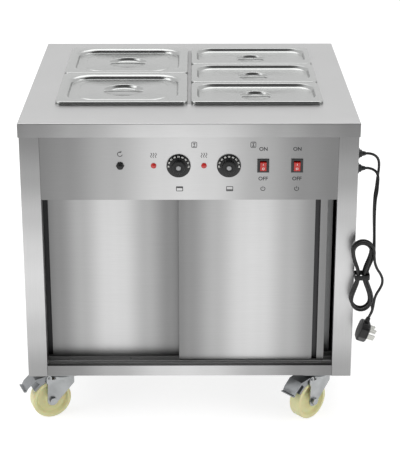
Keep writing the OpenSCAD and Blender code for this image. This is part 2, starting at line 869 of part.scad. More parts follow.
castors = [[-swivel_x, swivel_t, 202], [swivel_x, swivel_t, 222],
    [-swivel_x, top_d - swivel_t, 205], [swivel_x, top_d - swivel_t, 212]];
race_r = 32;
pin_r = 6;
pin_fit = 0.05;
leg_gap = 3;
plate_w = 84;
bolt_l = 72;
bolt_w = 60;

// Places a castor's own piece: swivel on the Z axis, wheel trailing towards +X
module castor(i) {
    translate([castors[i][0], front_y + castors[i][1], 0]) rotate([0, 0, castors[i][2]]) children();
}

module castor_plates() {
    color(zinc) for (i = [0 : 3]) translate([castors[i][0], front_y + castors[i][1], 0]) {
        translate([0, 0, plate_z]) block(plate_w, plate_l, plate_t, 6);
        for (x = [-1, 1], y = [-1, 1])
            translate([x * bolt_w / 2, y * bolt_l / 2, plate_z - 5]) cylinder(h = 5, d = 13, $fn = 6);
        translate([0, 0, upper_race_z]) rotate_extrude()
            polygon([[0, 0], [race_r - 2, 0], [race_r + 1, 3], [race_r + 1, upper_race_h],
                [0, upper_race_h]]);
        translate([0, 0, crown_z + 0.2]) cylinder(h = upper_race_z - crown_z, r = pin_r);
    }
}

leg_r = 14;
ear_x = 41;
ear_z_lift = 10;
ear_r = 7;
leg_top_half = 24;

// One fork leg in the plane of its sheet, x along the trail and y up
module leg_outline() {
    axle_z = wheel_d / 2;
    difference() {
        union() {
            translate([trail, axle_z]) circle(leg_r);
            polygon([[-leg_top_half, lower_race_z], [-leg_top_half, crown_z - 12],
                [trail - leg_r * 0.94, axle_z - leg_r * 0.34], [trail, axle_z - leg_r / 2],
                [trail + leg_r * 0.98, axle_z + leg_r * 0.2], [ear_x + 4, crown_z - 6],
                [ear_x + 4, lower_race_z], [leg_top_half, lower_race_z]]);
        }
        translate([trail, axle_z]) circle(axle_d / 2);
    }
}

module ear_outline() {
    difference() {
        union() {
            translate([ear_x, crown_z + ear_z_lift]) circle(ear_r);
            translate([ear_x - ear_r, crown_z - 4]) square([2 * ear_r, ear_z_lift + 4]);
        }
        translate([ear_x, crown_z + ear_z_lift]) circle(pedal_pin_r);
    }
}

// Swivel fork with its axle bolt; the braked one has ears for the pedal's pin
module fork(i, braked) {
    inner = wheel_w / 2 + leg_gap;
    color(zinc) castor(i) {
        difference() {
            union() {
                translate([0, 0, lower_race_z]) rotate_extrude()
                    polygon([[0, 0], [race_r, 0], [race_r, lower_race_h - 3],
                        [race_r - 3, lower_race_h], [0, lower_race_h]]);
                translate([-leg_top_half, -inner - fork_sheet, crown_z])
                    cube([2 * leg_top_half, 2 * (inner + fork_sheet), crown_t]);
                for (s = [-1, 1]) translate([0, s * (inner + fork_sheet / 2), 0])
                    rotate([90, 0, 0]) linear_extrude(fork_sheet, center = true) {
                        leg_outline();
                        if (braked) ear_outline();
                    }
            }
            translate([0, 0, crown_z - over])
                cylinder(h = lower_race_h + crown_t + 2 * over, r = pin_r + pin_fit);
        }
        translate([trail, 0, wheel_d / 2]) rotate([90, 0, 0]) {
            cylinder(h = 2 * (inner + fork_sheet) + slack, d = axle_d, center = true);
            for (s = [-1, 1])
                translate([0, 0, s * (inner + fork_sheet + 3.5)])
                    cylinder(h = 7, d = axle_d + 7, center = true, $fn = 6);
        }
    }
}

tread_round = 4;
hub_r = 17;
web_half = 8;

module wheel(i) {
    r = wheel_d / 2;
    hub_half = wheel_w / 2 + leg_gap - 0.5;
    color(nylon) castor(i) translate([trail, 0, r]) rotate([90, 0, 0]) rotate_extrude($fn = 96)
        polygon(concat([[axle_d / 2 + axle_fit, -hub_half], [hub_r - 3, -hub_half],
            [hub_r, -hub_half + 4], [hub_r + 4, -web_half - 2], [hub_r + 9, -web_half],
            [r - 14, -web_half], [r - 9, -wheel_w / 2]],
            [for (a = [0 : 15 : 90]) [r - tread_round + tread_round * sin(a),
                -wheel_w / 2 + tread_round - tread_round * cos(a)]],
            [for (a = [90 : -15 : 0]) [r - tread_round + tread_round * sin(a),
                wheel_w / 2 - tread_round + tread_round * cos(a)]],
            [[r - 9, wheel_w / 2], [r - 14, web_half], [hub_r + 9, web_half],
                [hub_r + 4, web_half + 2], [hub_r, hub_half - 4], [hub_r - 3, hub_half],
                [axle_d / 2 + axle_fit, hub_half]]));
}

pedal_pin_r = 3;
shoe_gap = 1;
shoe_t = 6;
pedal_t = 3;
pedal_in = 2;

// Brake pedal: arm over the wheel, foot plate, curved shoe and its pin
module pedal(i) {
    z = crown_z + ear_z_lift;
    half = wheel_w / 2 + leg_gap - pedal_in / 4;
    shoe_r = wheel_d / 2 + shoe_gap;
    color(dark_steel) castor(i) {
        translate([ear_x, 0, z]) rotate([90, 0, 0]) {
            cylinder(h = 2 * half, r = ear_r - 2, center = true);
            cylinder(h = 2 * (half + fork_sheet + 2), r = pedal_pin_r - spindle_fit, center = true);
        }
        rotate([90, 0, 0]) linear_extrude(wheel_w, center = true) intersection() {
            difference() {
                translate([trail, wheel_d / 2]) circle(shoe_r + shoe_t, $fn = 96);
                translate([trail, wheel_d / 2]) circle(shoe_r, $fn = 96);
            }
            polygon([[trail, wheel_d / 2], [trail + 60, wheel_d / 2 + 42],
                [trail + 60, wheel_d], [trail + 25, wheel_d + 30]]);
        }
        rotate([90, 0, 0]) linear_extrude(pedal_w, center = true)
            polygon([[ear_x + 6, z + 4], [ear_x + 34, z - 1], [ear_x + 54, z - 17],
                [pedal_reach - 6, z - 27], [pedal_reach, z - 26], [pedal_reach, z - 23],
                [pedal_reach - 6, z - 24], [ear_x + 55, z - 14],
                [ear_x + 36, z + 2 + pedal_t / 3], [ear_x + 6, z + 4 + pedal_t]]);
        rotate([90, 0, 0]) linear_extrude(2 * half - 4, center = true)
            polygon([[ear_x, z - 3], [ear_x + 22, z - 16], [ear_x + 32, z - 4], [ear_x + 10, z + 5],
                [ear_x, z + 4]]);
    }
}

// ---- Mains leads ----

hank_x = 415;
hank_drop = 378;
hank_in_r = 3 * cord_d;
hank_pitch = cord_d + hank_gap;
waist_in = cord_d / 2 + hank_gap;
waist_pitch = cord_d + 1.6 * hank_gap;
upper_hank_t = -8;
lower_hank_t = -24.5;
upper_turns = 2.25;
lower_turns = 2;
loop_rings = 24;

// Point of a hank's centreline after u turns of n, with x and z from its middle, y forwards
function hank_spread(u, n) = hank_in_r + hank_pitch * abs(u - n / 2);
function waist_spread(u, n) = waist_in + waist_pitch * abs(u - n / 2);
function ease(a) = let (b = min(1, max(0, a))) (1 - cos(180 * b)) / 2;
function hank_layer(u, n) = -hank_pitch * ease(2 * (u - n / 2) + 0.5);
function hank_side(z, u, n) =
    waist_spread(u, n) + (hank_spread(u, n) - waist_spread(u, n)) * ease(abs(z) / (hank_run / 2));
function hank_point(u, n) =
    let (part = 4 * (u - floor(u)), r = hank_spread(u, n), y = hank_layer(u, n),
        down = hank_run * (0.5 - part), up = hank_run * (part - 2.5),
        a = 180 * (part - 1), b = 180 * (part - 3))
    part < 1 ? [hank_side(down, u, n), y, down]
    : part < 2 ? [r * cos(a), y, -hank_run / 2 - r * sin(a)]
    : part < 3 ? [-hank_side(up, u, n), y, up]
    : [-r * cos(b), y, hank_run / 2 + r * sin(b)];
function hank_end(n) =
    n == floor(n) ? [hank_spread(n, n), hank_layer(n, n), hank_run / 2]
    : [hank_spread(n, n), hank_layer(n, n), -hank_run / 2];
function hank_path(n) = concat(
    [[hank_spread(0, n), 0, hank_run / 2 + cord_d]],
    [for (i = [0 : n * loop_rings - 1]) hank_point(i / loop_rings, n)],
    [hank_end(n), hank_end(n) - [0, 0, cord_d]]);
function hank_place(p, t) = [for (q = p) q + [hank_x, front_y + t, total_h - hank_drop]];
function lead_place(p) = [for (q = p) [q[0], front_y + q[1], total_h - q[2]]];

// Straight-line distance between stretches of one path that lie apart along it
function apart(p, skip) = min([for (i = [0 : len(p) - 1 - skip])
    min([for (j = [i + skip : len(p) - 1]) norm(p[i] - p[j])])]);
function fine_path(n) = [for (i = [0 : n * 160]) hank_point(i / 160, n)];

gland_x = body_x + gland_reach;
// Leads from their glands to the hanks: x, depth t and drop under the top plate
upper_route = [[gland_x, 40, 88], [gland_x + 7, 40, 88], [gland_x + 18, 40.5, 91],
    [gland_x + 27, 41.5, 98], [gland_x + 32, 42.5, 109], [gland_x + 33, 43.5, 123],
    [gland_x + 32, 44, 139], [gland_x + 30, 43.5, 156], [gland_x + 28, 41, 174], [446, 36.5, 192],
    [444.5, 30, 210], [443.5, 22, 228], [443, 13, 245], [442.9, 4.5, 261], [442.9, -2.5, 277],
    [442.8, -6.7, 292]];
lower_route = [[gland_x, 40, 125], [gland_x + 7, 40, 125], [gland_x + 18, 39, 128],
    [gland_x + 27, 37, 135], [gland_x + 31, 34.5, 147], [gland_x + 30.5, 31, 163],
    [gland_x + 29, 26.5, 180], [446.5, 20, 197], [444.5, 12, 214], [443.2, 3, 231], [442.4, -5.5, 248],
    [442, -13, 265], [441.9, -19, 281], [441.9, -23, 295]];
// Tail of the upper lead, from its hank to the plug
upper_tail = [[442.9, -15.4, 456], [444, -13, 464], [445.5, -7, 474], [446, 0.5, 483],
    [445, 8.5, 492], [442.5, 14.5, 502]];
upper_plug_at = [438.5, 17.5, 513];
// Tail of the lower lead, which bows out beside the waist before the plug
lower_tail = [[442.4, -31.9, 328], [444.5, -32, 342], [450, -32, 356], [457.5, -32, 368],
    [463, -32, 381], [463, -32, 395], [458, -32, 408], [451.5, -32, 420], [447, -32, 433],
    [445, -32, 447], [443, -32, 461], [439, -32, 473]];
lower_plug_at = [434, -32, 484];
plug_tilt = 20;

hank_start_z = hank_drop - hank_run / 2 - cord_d;
upper_lead_path = lead_place(concat(upper_route,
    [[hank_x + hank_spread(0, upper_turns), upper_hank_t, hank_start_z]]));
lower_lead_path = lead_place(concat(lower_route,
    [[hank_x + hank_spread(0, lower_turns), lower_hank_t, hank_start_z]]));
upper_hank_path = hank_place(hank_path(upper_turns), upper_hank_t);
lower_hank_path = hank_place(hank_path(lower_turns), lower_hank_t);
upper_tail_path = concat([upper_hank_path[len(upper_hank_path) - 1]],
    lead_place(concat(upper_tail, [upper_plug_at])));
lower_tail_path = concat([lower_hank_path[len(lower_hank_path) - 1]],
    lead_place(concat(lower_tail, [lower_plug_at])));

function unit(v) = v / norm(v);
function heading(p, i) =
    unit(p[min(i + 1, len(p) - 1)] - p[max(i - 1, 0)]);
function ring(p, i, sides, r, first, last) =
    let (h = i == 0 ? first : i == len(p) - 1 ? last : heading(p, i),
        n = unit(cross(h, [0, 1, 0])), m = cross(h, n))
    [for (k = [0 : sides - 1]) p[i] + r * (n * cos(360 * k / sides) + m * sin(360 * k / sides))];

// Closed tube along a path; first and last are the directions of its ends
module swept(p, sides, first, last) {
    n = len(p);
    points = [for (i = [0 : n - 1]) each ring(p, i, sides, cord_d / 2, first, last)];
    skin = [for (i = [0 : n - 2], k = [0 : sides - 1])
        let (a = i * sides + k, b = i * sides + (k + 1) % sides)
        each [[a, b, a + sides], [b, b + sides, a + sides]]];
    ends = [for (k = [1 : sides - 2]) each [[0, k + 1, k],
        [(n - 1) * sides, (n - 1) * sides + k, (n - 1) * sides + k + 1]]];
    polyhedron(points, concat(skin, ends), convexity = 10);
}

down = [0, 0, -1];
plug_axis = [-sin(plug_tilt), 0, -cos(plug_tilt)];

module upper_lead() {
    color(black) {
        swept(upper_lead_path, 8, [1, 0, 0], down);
        swept(upper_tail_path, 8, down, plug_axis);
    }
}

module lower_lead() {
    color(black) {
        swept(lower_lead_path, 8, [1, 0, 0], down);
        swept(lower_tail_path, 8, down, plug_axis);
    }
}

module upper_hank() { color(black) swept(upper_hank_path, 6, down, down); }

module lower_hank() { color(black) swept(lower_hank_path, 6, down, down); }

plug_w = 48;
plug_l = 44;
plug_thick = 22;
neck_l = 12;

// Plug with three flat pins, hanging from its lead
module plug(at) {
    p = lead_place([at])[0];
    translate(p) rotate([0, plug_tilt, 0]) {
        color(black) {
            translate([0, 0, -neck_l]) cylinder(h = neck_l, r1 = 7, r2 = 5);
            translate([0, 0, -neck_l - plug_l / 2]) rotate([0, 90, 0])
                linear_extrude(plug_thick, center = true) intersection() {
                    rounded(plug_l, plug_w, 8);
                    rotate(45) square([50, 50], center = true);
                }
        }
        color(zinc) {
            for (y = [-11, 11])
                translate([plug_thick / 2 - over, y - 3.15, -neck_l - 14])
                    cube([18 + over, 6.3, 4]);
            translate([plug_thick / 2 - over, -2, -neck_l - 37]) cube([23 + over, 4, 8]);
        }
    }
}

module upper_plug() { plug(upper_plug_at); }

module lower_plug() { plug(lower_plug_at); }

tie_w = 12;
tie_t = 1.4;
tie_gap = 0.6;

// Strap round both hanks at their waists
module hank_tie() {
    w = 2 * (waist_spread(0, upper_turns) + cord_d / 2 + tie_gap);
    t0 = lower_hank_t - hank_pitch - cord_d / 2 - tie_gap;
    t1 = upper_hank_t + cord_d / 2 + tie_gap;
    color(black) translate([hank_x, front_y + (t0 + t1) / 2, total_h - hank_drop - tie_w / 2])
        linear_extrude(tie_w) difference() {
            rounded(w + 2 * tie_t, t1 - t0 + 2 * tie_t, 5 + tie_t);
            rounded(w, t1 - t0, 5);
        }
}

echo(upper_hank_gap = apart(fine_path(upper_turns), 40) - cord_d);
echo(lower_hank_gap = apart(fine_path(lower_turns), 40) - cord_d);

top_plate();
well_tank();
pan_divider();
pan(left_pan_x, half_t[0], half_pan_w);  // pan_front_left
pan(left_pan_x, half_t[1], half_pan_w);  // pan_back_left
pan(right_pan_x, third_t[0], third_pan_w);  // pan_front_right
pan(right_pan_x, third_t[1], third_pan_w);  // pan_middle_right
pan(right_pan_x, third_t[2], third_pan_w);  // pan_back_right
lid(left_pan_x, half_t[0], half_pan_w, half_dish_d);  // lid_front_left
lid(left_pan_x, half_t[1], half_pan_w, half_dish_d);  // lid_back_left
lid(right_pan_x, third_t[0], third_pan_w, third_dish_d);  // lid_front_right
lid(right_pan_x, third_t[1], third_pan_w, third_dish_d);  // lid_middle_right
lid(right_pan_x, third_t[2], third_pan_w, third_dish_d);  // lid_back_right
left_side_panel();
right_side_panel();
back_panel();
base_panel();
castor_channels();
control_panel();
upper_track();
lower_track();
left_liner();
right_liner();
ceiling_panel();
shelf();
well_heater();
cupboard_heater();
heater_guard();
left_door();
right_door();
thermostats();
top_knob();
bottom_knob();
pilot_lamps();
reset_body();
reset_button();
switch_bodies();
left_rocker();
right_rocker();
cable_glands();
screws();
castor_plates();
fork(0, true);  // front_left_fork
fork(1, true);  // front_right_fork
fork(2, false);  // rear_left_fork
fork(3, false);  // rear_right_fork
wheel(0);  // front_left_wheel
wheel(1);  // front_right_wheel
wheel(2);  // rear_left_wheel
wheel(3);  // rear_right_wheel
pedal(0);  // front_left_pedal
pedal(1);  // front_right_pedal
upper_lead();
upper_hank();
upper_plug();
lower_lead();
lower_hank();
lower_plug();
hank_tie();
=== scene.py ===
"""Heated plate cabinet on castors, with a water bath for five covered food pans on top.

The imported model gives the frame: metres, +Z up, front towards -Y, origin on the floor.
Sizes in this file are millimetres unless a name says otherwise, and depths called t are
measured back from the front of the top plate, as in the part's source.
"""
from __future__ import annotations

import json
import logging
import math
from dataclasses import dataclass, field
from enum import Enum
from typing import Callable, Sequence, Union

import bmesh
import bpy
from mathutils import Matrix, Vector

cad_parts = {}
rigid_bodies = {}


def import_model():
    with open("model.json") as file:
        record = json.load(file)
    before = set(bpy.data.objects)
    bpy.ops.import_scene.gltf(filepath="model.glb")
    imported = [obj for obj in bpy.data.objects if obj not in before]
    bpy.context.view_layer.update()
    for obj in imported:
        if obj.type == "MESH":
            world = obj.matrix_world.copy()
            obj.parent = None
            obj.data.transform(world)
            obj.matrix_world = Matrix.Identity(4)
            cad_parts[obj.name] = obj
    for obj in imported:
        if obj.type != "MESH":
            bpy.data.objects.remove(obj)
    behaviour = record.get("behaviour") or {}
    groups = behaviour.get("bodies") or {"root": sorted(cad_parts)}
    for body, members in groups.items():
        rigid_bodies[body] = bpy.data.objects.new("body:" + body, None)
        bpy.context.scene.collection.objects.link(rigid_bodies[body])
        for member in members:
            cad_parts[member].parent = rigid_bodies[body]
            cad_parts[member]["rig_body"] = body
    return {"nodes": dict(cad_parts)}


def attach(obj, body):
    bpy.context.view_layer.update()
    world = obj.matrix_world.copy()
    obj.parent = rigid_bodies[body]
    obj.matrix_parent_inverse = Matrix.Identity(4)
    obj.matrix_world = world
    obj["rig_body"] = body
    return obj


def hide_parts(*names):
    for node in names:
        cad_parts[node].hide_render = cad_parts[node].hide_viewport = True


WHITE = (1.0, 1.0, 1.0, 1.0)
LOG = logging.getLogger("plate_cabinet")
MM = 0.001
FRONT_Y = -361.0
TOP_Z = 790.0
CABINET = "cabinet"

Point = tuple[float, float, float]
Outline = list[tuple[float, float]]
Value = Union[bpy.types.NodeSocket, float]


def at(x: float, t: float, z: float) -> Vector:
    """Place in metres of the point at x, depth t and height z, all in millimetres."""
    return Vector((x, FRONT_Y + t, z)) * MM


# ---- Colours and nodes ----


def linear(hex_colour: str) -> tuple[float, float, float, float]:
    """Turn an sRGB hex colour to linear.

    Args:
        hex_colour: six hex digits after a hash sign.

    Returns:
        Red, green, blue and an alpha of 1.
    """
    parts = [int(hex_colour[i : i + 2], 16) / 255 for i in (1, 3, 5)]
    low, knee, power = 12.92, 0.04045, 2.4
    done = [c / low if c <= knee else ((c + 0.055) / 1.055) ** power for c in parts]
    return (done[0], done[1], done[2], 1.0)


def add_node(
    tree: bpy.types.NodeTree,
    kind: str,
    settings: dict | None = None,
    inputs: dict | None = None,
) -> bpy.types.Node:
    """Add a node with its settings, socket values and links.

    Args:
        tree: the node tree it joins.
        kind: the node's type name.
        settings: its own properties, by name.
        inputs: its input sockets, by name or number; an output socket is linked, and any
            other value is set on the socket.

    Returns:
        The new node.
    """
    made = tree.nodes.new(kind)
    for name, value in (settings or {}).items():
        setattr(made, name, value)
    for name, value in (inputs or {}).items():
        if isinstance(value, bpy.types.NodeSocket):
            tree.links.new(value, made.inputs[name])
        else:
            made.inputs[name].default_value = value
    return made


def set_ramp(ramp: bpy.types.ColorRamp, stops: Sequence[tuple[float, float]]) -> None:
    """Give a colour ramp grey stops.

    Args:
        ramp: the ramp to set.
        stops: place and grey level of each stop, in order.
    """
    ramp.interpolation = "EASE"
    while len(ramp.elements) < len(stops):
        ramp.elements.new(0.5)
    for element, (place, level) in zip(ramp.elements, stops):
        element.position = place
        element.color = (level, level, level, 1.0)


def calculate(
    tree: bpy.types.NodeTree,
    operation: str,
    first: Value,
    second: Value = 0.0,
    clamp: bool = False,
) -> bpy.types.NodeSocket:
    """Add a node that works out one value from two.

    Args:
        tree: the node tree it joins.
        operation: what it does, such as MULTIPLY.
        first: its first value, a socket or a number.
        second: its second value.
        clamp: whether the result stays from 0 to 1.

    Returns:
        Its output.
    """
    settings = {"operation": operation, "use_clamp": clamp}
    return add_node(tree, "ShaderNodeMath", settings, {0: first, 1: second}).outputs[0]


def spread(
    tree: bpy.types.NodeTree,
    value: bpy.types.NodeSocket,
    result: tuple[float, float],
    source: tuple[float, float] = (0.0, 1.0),
    smooth: bool = False,
) -> bpy.types.NodeSocket:
    """Add a node that spreads a value between two results.

    Args:
        tree: the node tree it joins.
        value: the value.
        result: the lowest and highest result.
        source: the values that give them.
        smooth: whether the result eases in and out.

    Returns:
        Its output.
    """
    settings = {"interpolation_type": "SMOOTHSTEP"} if smooth else {}
    ends = {1: source[0], 2: source[1], 3: result[0], 4: result[1]}
    return add_node(tree, "ShaderNodeMapRange", settings, {0: value, **ends}).outputs[0]


def noise(
    tree: bpy.types.NodeTree,
    place: bpy.types.NodeSocket,
    scale: float,
    detail: float,
    roughness: float = 0.5,
) -> bpy.types.NodeSocket:
    """Add a noise texture and return its value.

    Args:
        tree: the node tree it joins.
        place: where it is sampled.
        scale: how many lumps it has in a unit of place.
        detail: how many finer octaves it has.
        roughness: how strong they are.

    Returns:
        Its value.
    """
    inputs = {"Vector": place, "Scale": scale, "Detail": detail, "Roughness": roughness}
    return add_node(tree, "ShaderNodeTexNoise", inputs=inputs).outputs[0]


SHEET_BUMP = 0.3 * MM
MOULD_BUMP = 0.2 * MM
CLOUD_RANGE = (0.3, 0.7)


class Grain(Enum):
    """Direction in which a metal sheet was brushed."""

    ACROSS = 0
    UPRIGHT = 2


@dataclass(frozen=True)
class Finish:
    """A surface finish: one procedural material, made once and shared by its pieces."""

    name: str
    colour: str
    roughness: float
    slot: str

    def start(self) -> tuple[bpy.types.Material, bpy.types.NodeTree, bpy.types.Node]:
        """Make the material with a plain shader.

        Returns:
            The material, its tree and its shader node.
        """
        material = bpy.data.materials.new(self.name)
        material.use_nodes = True
        tree = material.node_tree
        shader = tree.nodes["Principled BSDF"]
        shader.inputs["Base Color"].default_value = linear(self.colour)
        shader.inputs["Roughness"].default_value = self.roughness
        material.diffuse_color = linear(self.colour)
        return material, tree, shader

    def tinted(
        self, tree: bpy.types.NodeTree, shader: bpy.types.Node, tone: bpy.types.NodeSocket
    ) -> bpy.types.NodeSocket:
        """Link the finish's colour, scaled by a tone, to the shader and return it."""
        tint = add_node(
            tree,
            "ShaderNodeVectorMath",
            {"operation": "SCALE"},
            {0: linear(self.colour)[:3], "Scale": tone},
        ).outputs[0]
        tree.links.new(tint, shader.inputs["Base Color"])
        return tint

    @staticmethod
    def bumped(
        tree: bpy.types.NodeTree,
        shader: bpy.types.Node,
        height: bpy.types.NodeSocket,
        strength: float,
        depth: float,
    ) -> None:
        """Link a bump to the shader.

        Args:
            tree: the material's tree.
            shader: its shader.
            height: the surface's height, from 0 to 1.
            strength: how much of the bump shows.
            depth: the bump's full height in metres.
        """
        inputs = {"Height": height, "Strength": strength, "Distance": depth}
        bump = add_node(tree, "ShaderNodeBump", inputs=inputs).outputs[0]
        tree.links.new(bump, shader.inputs["Normal"])

    def build(self) -> bpy.types.Material:
        """Make the material's own nodes."""
        return self.start()[0]

    def material(self) -> bpy.types.Material:
        """The material, built at its first use."""
        return bpy.data.materials.get(self.name) or self.build()


@dataclass(frozen=True)
class BrushedStainless(Finish):
    """Stainless sheet, dull-brushed along one direction with a belt.

    The brushing gives fine broken lines and a reflection smeared across them. A pale band
    of painted highlight can be painted into the colour: brightest at its middle, it fades
    to its ends.
    The grain's real lines are a tenth of a millimetre wide and are drawn coarser to show.
    """

    grain: Grain = Grain.ACROSS
    line_width: float = 0.9
    line_length: float = 70.0
    contrast: float = 0.12
    drift: float = 0.03
    # Painted highlight band: its axis, middle and half width in millimetres, and tone
    # stops.
    painted_sheen_axis: int = 0
    painted_sheen_centre: float = 0.0
    painted_sheen_half: float = 0.0
    painted_sheen_stops: tuple[tuple[float, float], ...] = ((0.0, 1.0), (1.0, 0.6))

    def build(self) -> bpy.types.Material:
        """Make the metal's nodes: grain in colour, gloss and bump, and the painted
        highlight band.
        """
        material, tree, shader = self.start()
        shader.inputs["Metallic"].default_value = 1.0
        place = add_node(tree, "ShaderNodeTexCoord").outputs["Object"]
        fine, long = 1 / (self.line_width * MM), 1 / (self.line_length * MM)
        stretch = [fine, fine, fine]
        stretch[self.grain.value] = long
        lines = add_node(
            tree, "ShaderNodeMapping", inputs={"Vector": place, "Scale": stretch}
        ).outputs[0]
        grain = noise(tree, lines, 1.0, 3.0, 0.6)
        cloud = noise(tree, place, 6.0, 2.0)
        streak = spread(tree, grain, (1 - self.contrast, 1 + self.contrast))
        drift = spread(tree, cloud, (1 - self.drift, 1 + self.drift))
        tone = calculate(tree, "MULTIPLY", streak, drift)
        # Painted highlight: the band's tone darkens the colour away from its middle.
        if self.painted_sheen_half > 0:
            tone = calculate(tree, "MULTIPLY", tone, self.band(tree, place))
        self.tinted(tree, shader, tone)
        rough = spread(tree, grain, (self.roughness - 0.06, self.roughness + 0.08))
        tree.links.new(rough, shader.inputs["Roughness"])
        self.bumped(tree, shader, grain, 0.18, SHEET_BUMP)
        return material

    def band(
        self, tree: bpy.types.NodeTree, place: bpy.types.NodeSocket
    ) -> bpy.types.NodeSocket:
        """Tone of the painted highlight band along one axis.

        Args:
            tree: the material's tree.
            place: the surface's place in metres.

        Returns:
            A factor for the colour, 1 at the painted highlight's middle.
        """
        axis = add_node(tree, "ShaderNodeSeparateXYZ", inputs={0: place})
        off = calculate(
            tree, "SUBTRACT", axis.outputs[self.painted_sheen_axis], self.painted_sheen_centre * MM
        )
        far = calculate(tree, "ABSOLUTE", off)
        share = calculate(tree, "DIVIDE", far, self.painted_sheen_half * MM, clamp=True)
        ramp = add_node(tree, "ShaderNodeValToRGB", inputs={0: share})
        set_ramp(ramp.color_ramp, self.painted_sheen_stops)
        return ramp.outputs[0]


@dataclass(frozen=True)
class Metal(Finish):
    """Metal with a lightly mottled surface: polished, mill or plated."""

    grit: float = 2.5
    mottle: float = 0.06
    bump: float = 0.08
    wear: float = 0.05

    def build(self) -> bpy.types.Material:
        """Make the metal's nodes: mottled colour and roughness with a faint bump."""
        material, tree, shader = self.start()
        shader.inputs["Metallic"].default_value = 1.0
        place = add_node(tree, "ShaderNodeTexCoord").outputs["Object"]
        grit = noise(tree, place, 1 / (self.grit * MM), 4.0)
        cloud = noise(tree, place, 35.0, 3.0)
        tone = spread(tree, cloud, (1 - self.mottle, 1 + self.mottle), CLOUD_RANGE)
        self.tinted(tree, shader, tone)
        ends = (self.roughness - self.wear, self.roughness + self.wear)
        rough = spread(tree, cloud, ends, CLOUD_RANGE)
        tree.links.new(rough, shader.inputs["Roughness"])
        self.bumped(tree, shader, grit, self.bump, SHEET_BUMP)
        return material


@dataclass(frozen=True)
class Moulded(Finish):
    """Moulded plastic or rubber: a fine spark-eroded texture and slight colour drift."""

    grit: float = 0.7
    bump: float = 0.25
    drift: float = 0.12
    wear: float = 0.05
    coat: float = 0.0
    scatter: float = 0.0

    def build(self) -> bpy.types.Material:
        """Make the plastic's nodes: colour drift, uneven gloss and a fine bump."""
        material, tree, shader = self.start()
        shader.inputs["Coat Weight"].default_value = self.coat
        shader.inputs["Coat Roughness"].default_value = 0.12
        if self.scatter > 0:
            shader.inputs["Subsurface Weight"].default_value = self.scatter
            shader.inputs["Subsurface Scale"].default_value = 0.004
        place = add_node(tree, "ShaderNodeTexCoord").outputs["Object"]
        grit = noise(tree, place, 1 / (self.grit * MM), 2.0)
        cloud = noise(tree, place, 60.0, 3.0)
        tone = spread(tree, cloud, (1 - self.drift, 1 + self.drift), CLOUD_RANGE)
        self.tinted(tree, shader, tone)
        ends = (self.roughness - self.wear, self.roughness + self.wear)
        rough = spread(tree, cloud, ends, CLOUD_RANGE)
        tree.links.new(rough, shader.inputs["Roughness"])
        self.bumped(tree, shader, grit, self.bump, MOULD_BUMP)
        return material


@dataclass(frozen=True)
class LampLens(Finish):
    """Clear red polycarbonate of a lamp or a lit rocker, unlit, with a faint painted glow.
    """

    # Strength of the painted glow.
    glow: float = 0.25

    def build(self) -> bpy.types.Material:
        """Make the lens: a coated gloss whose fine-celled colour also feeds a painted glow.
        """
        material, tree, shader = self.start()
        shader.inputs["Coat Weight"].default_value = 0.6
        shader.inputs["Coat Roughness"].default_value = 0.05
        shader.inputs["IOR"].default_value = 1.58
        place = add_node(tree, "ShaderNodeTexCoord").outputs["Object"]
        cells = add_node(
            tree, "ShaderNodeTexVoronoi", inputs={"Vector": place, "Scale": 700.0}
        ).outputs[0]
        tint = self.tinted(tree, shader, spread(tree, cells, (0.8, 1.25)))
        # Painted glow: the unlit lens's colour is also emitted faintly.
        tree.links.new(tint, shader.inputs["Emission Color"])
        shader.inputs["Emission Strength"].default_value = self.glow
        return material


SHEET_ACROSS = BrushedStainless(
    "stainless_brushed_across", "#cfcfcf", 0.34, "stainless", Grain.ACROSS
)
TABLE_TOP = BrushedStainless(
    "stainless_table_top",
    "#b8b8b8",
    0.36,
    "stainless",
    Grain.ACROSS,
    contrast=0.05,
)
# Painted highlight bands: the apron, control panel, posts and doors each carry a pale band
# painted into their colour, darker towards their ends, in place of the studio's reflection.
APRON_PAINTED_SHEEN = BrushedStainless(
    "stainless_apron",
    "#d8d8d8",
    0.34,
    "stainless",
    Grain.ACROSS,
    painted_sheen_centre=-22.0,
    painted_sheen_half=400.0,
    painted_sheen_stops=((0.0, 1.0), (0.18, 0.95), (0.6, 0.58), (0.85, 0.41), (1.0, 0.34)),
)
PANEL_SHEET = BrushedStainless(
    "stainless_control_panel",
    "#d3d3d3",
    0.34,
    "stainless",
    Grain.ACROSS,
    contrast=0.08,
    painted_sheen_centre=-8.0,
    painted_sheen_half=355.0,
    painted_sheen_stops=((0.0, 1.0), (0.16, 0.95), (0.5, 0.65), (0.8, 0.41), (1.0, 0.335)),
)
POST_SHEET = BrushedStainless(
    "stainless_posts",
    "#d2d2d2",
    0.34,
    "stainless",
    Grain.UPRIGHT,
    contrast=0.08,
    painted_sheen_axis=2,
    painted_sheen_centre=403.0,
    painted_sheen_half=350.0,
    painted_sheen_stops=((0.0, 1.0), (0.18, 0.94), (0.45, 0.76), (0.72, 0.54), (1.0, 0.39)),
)
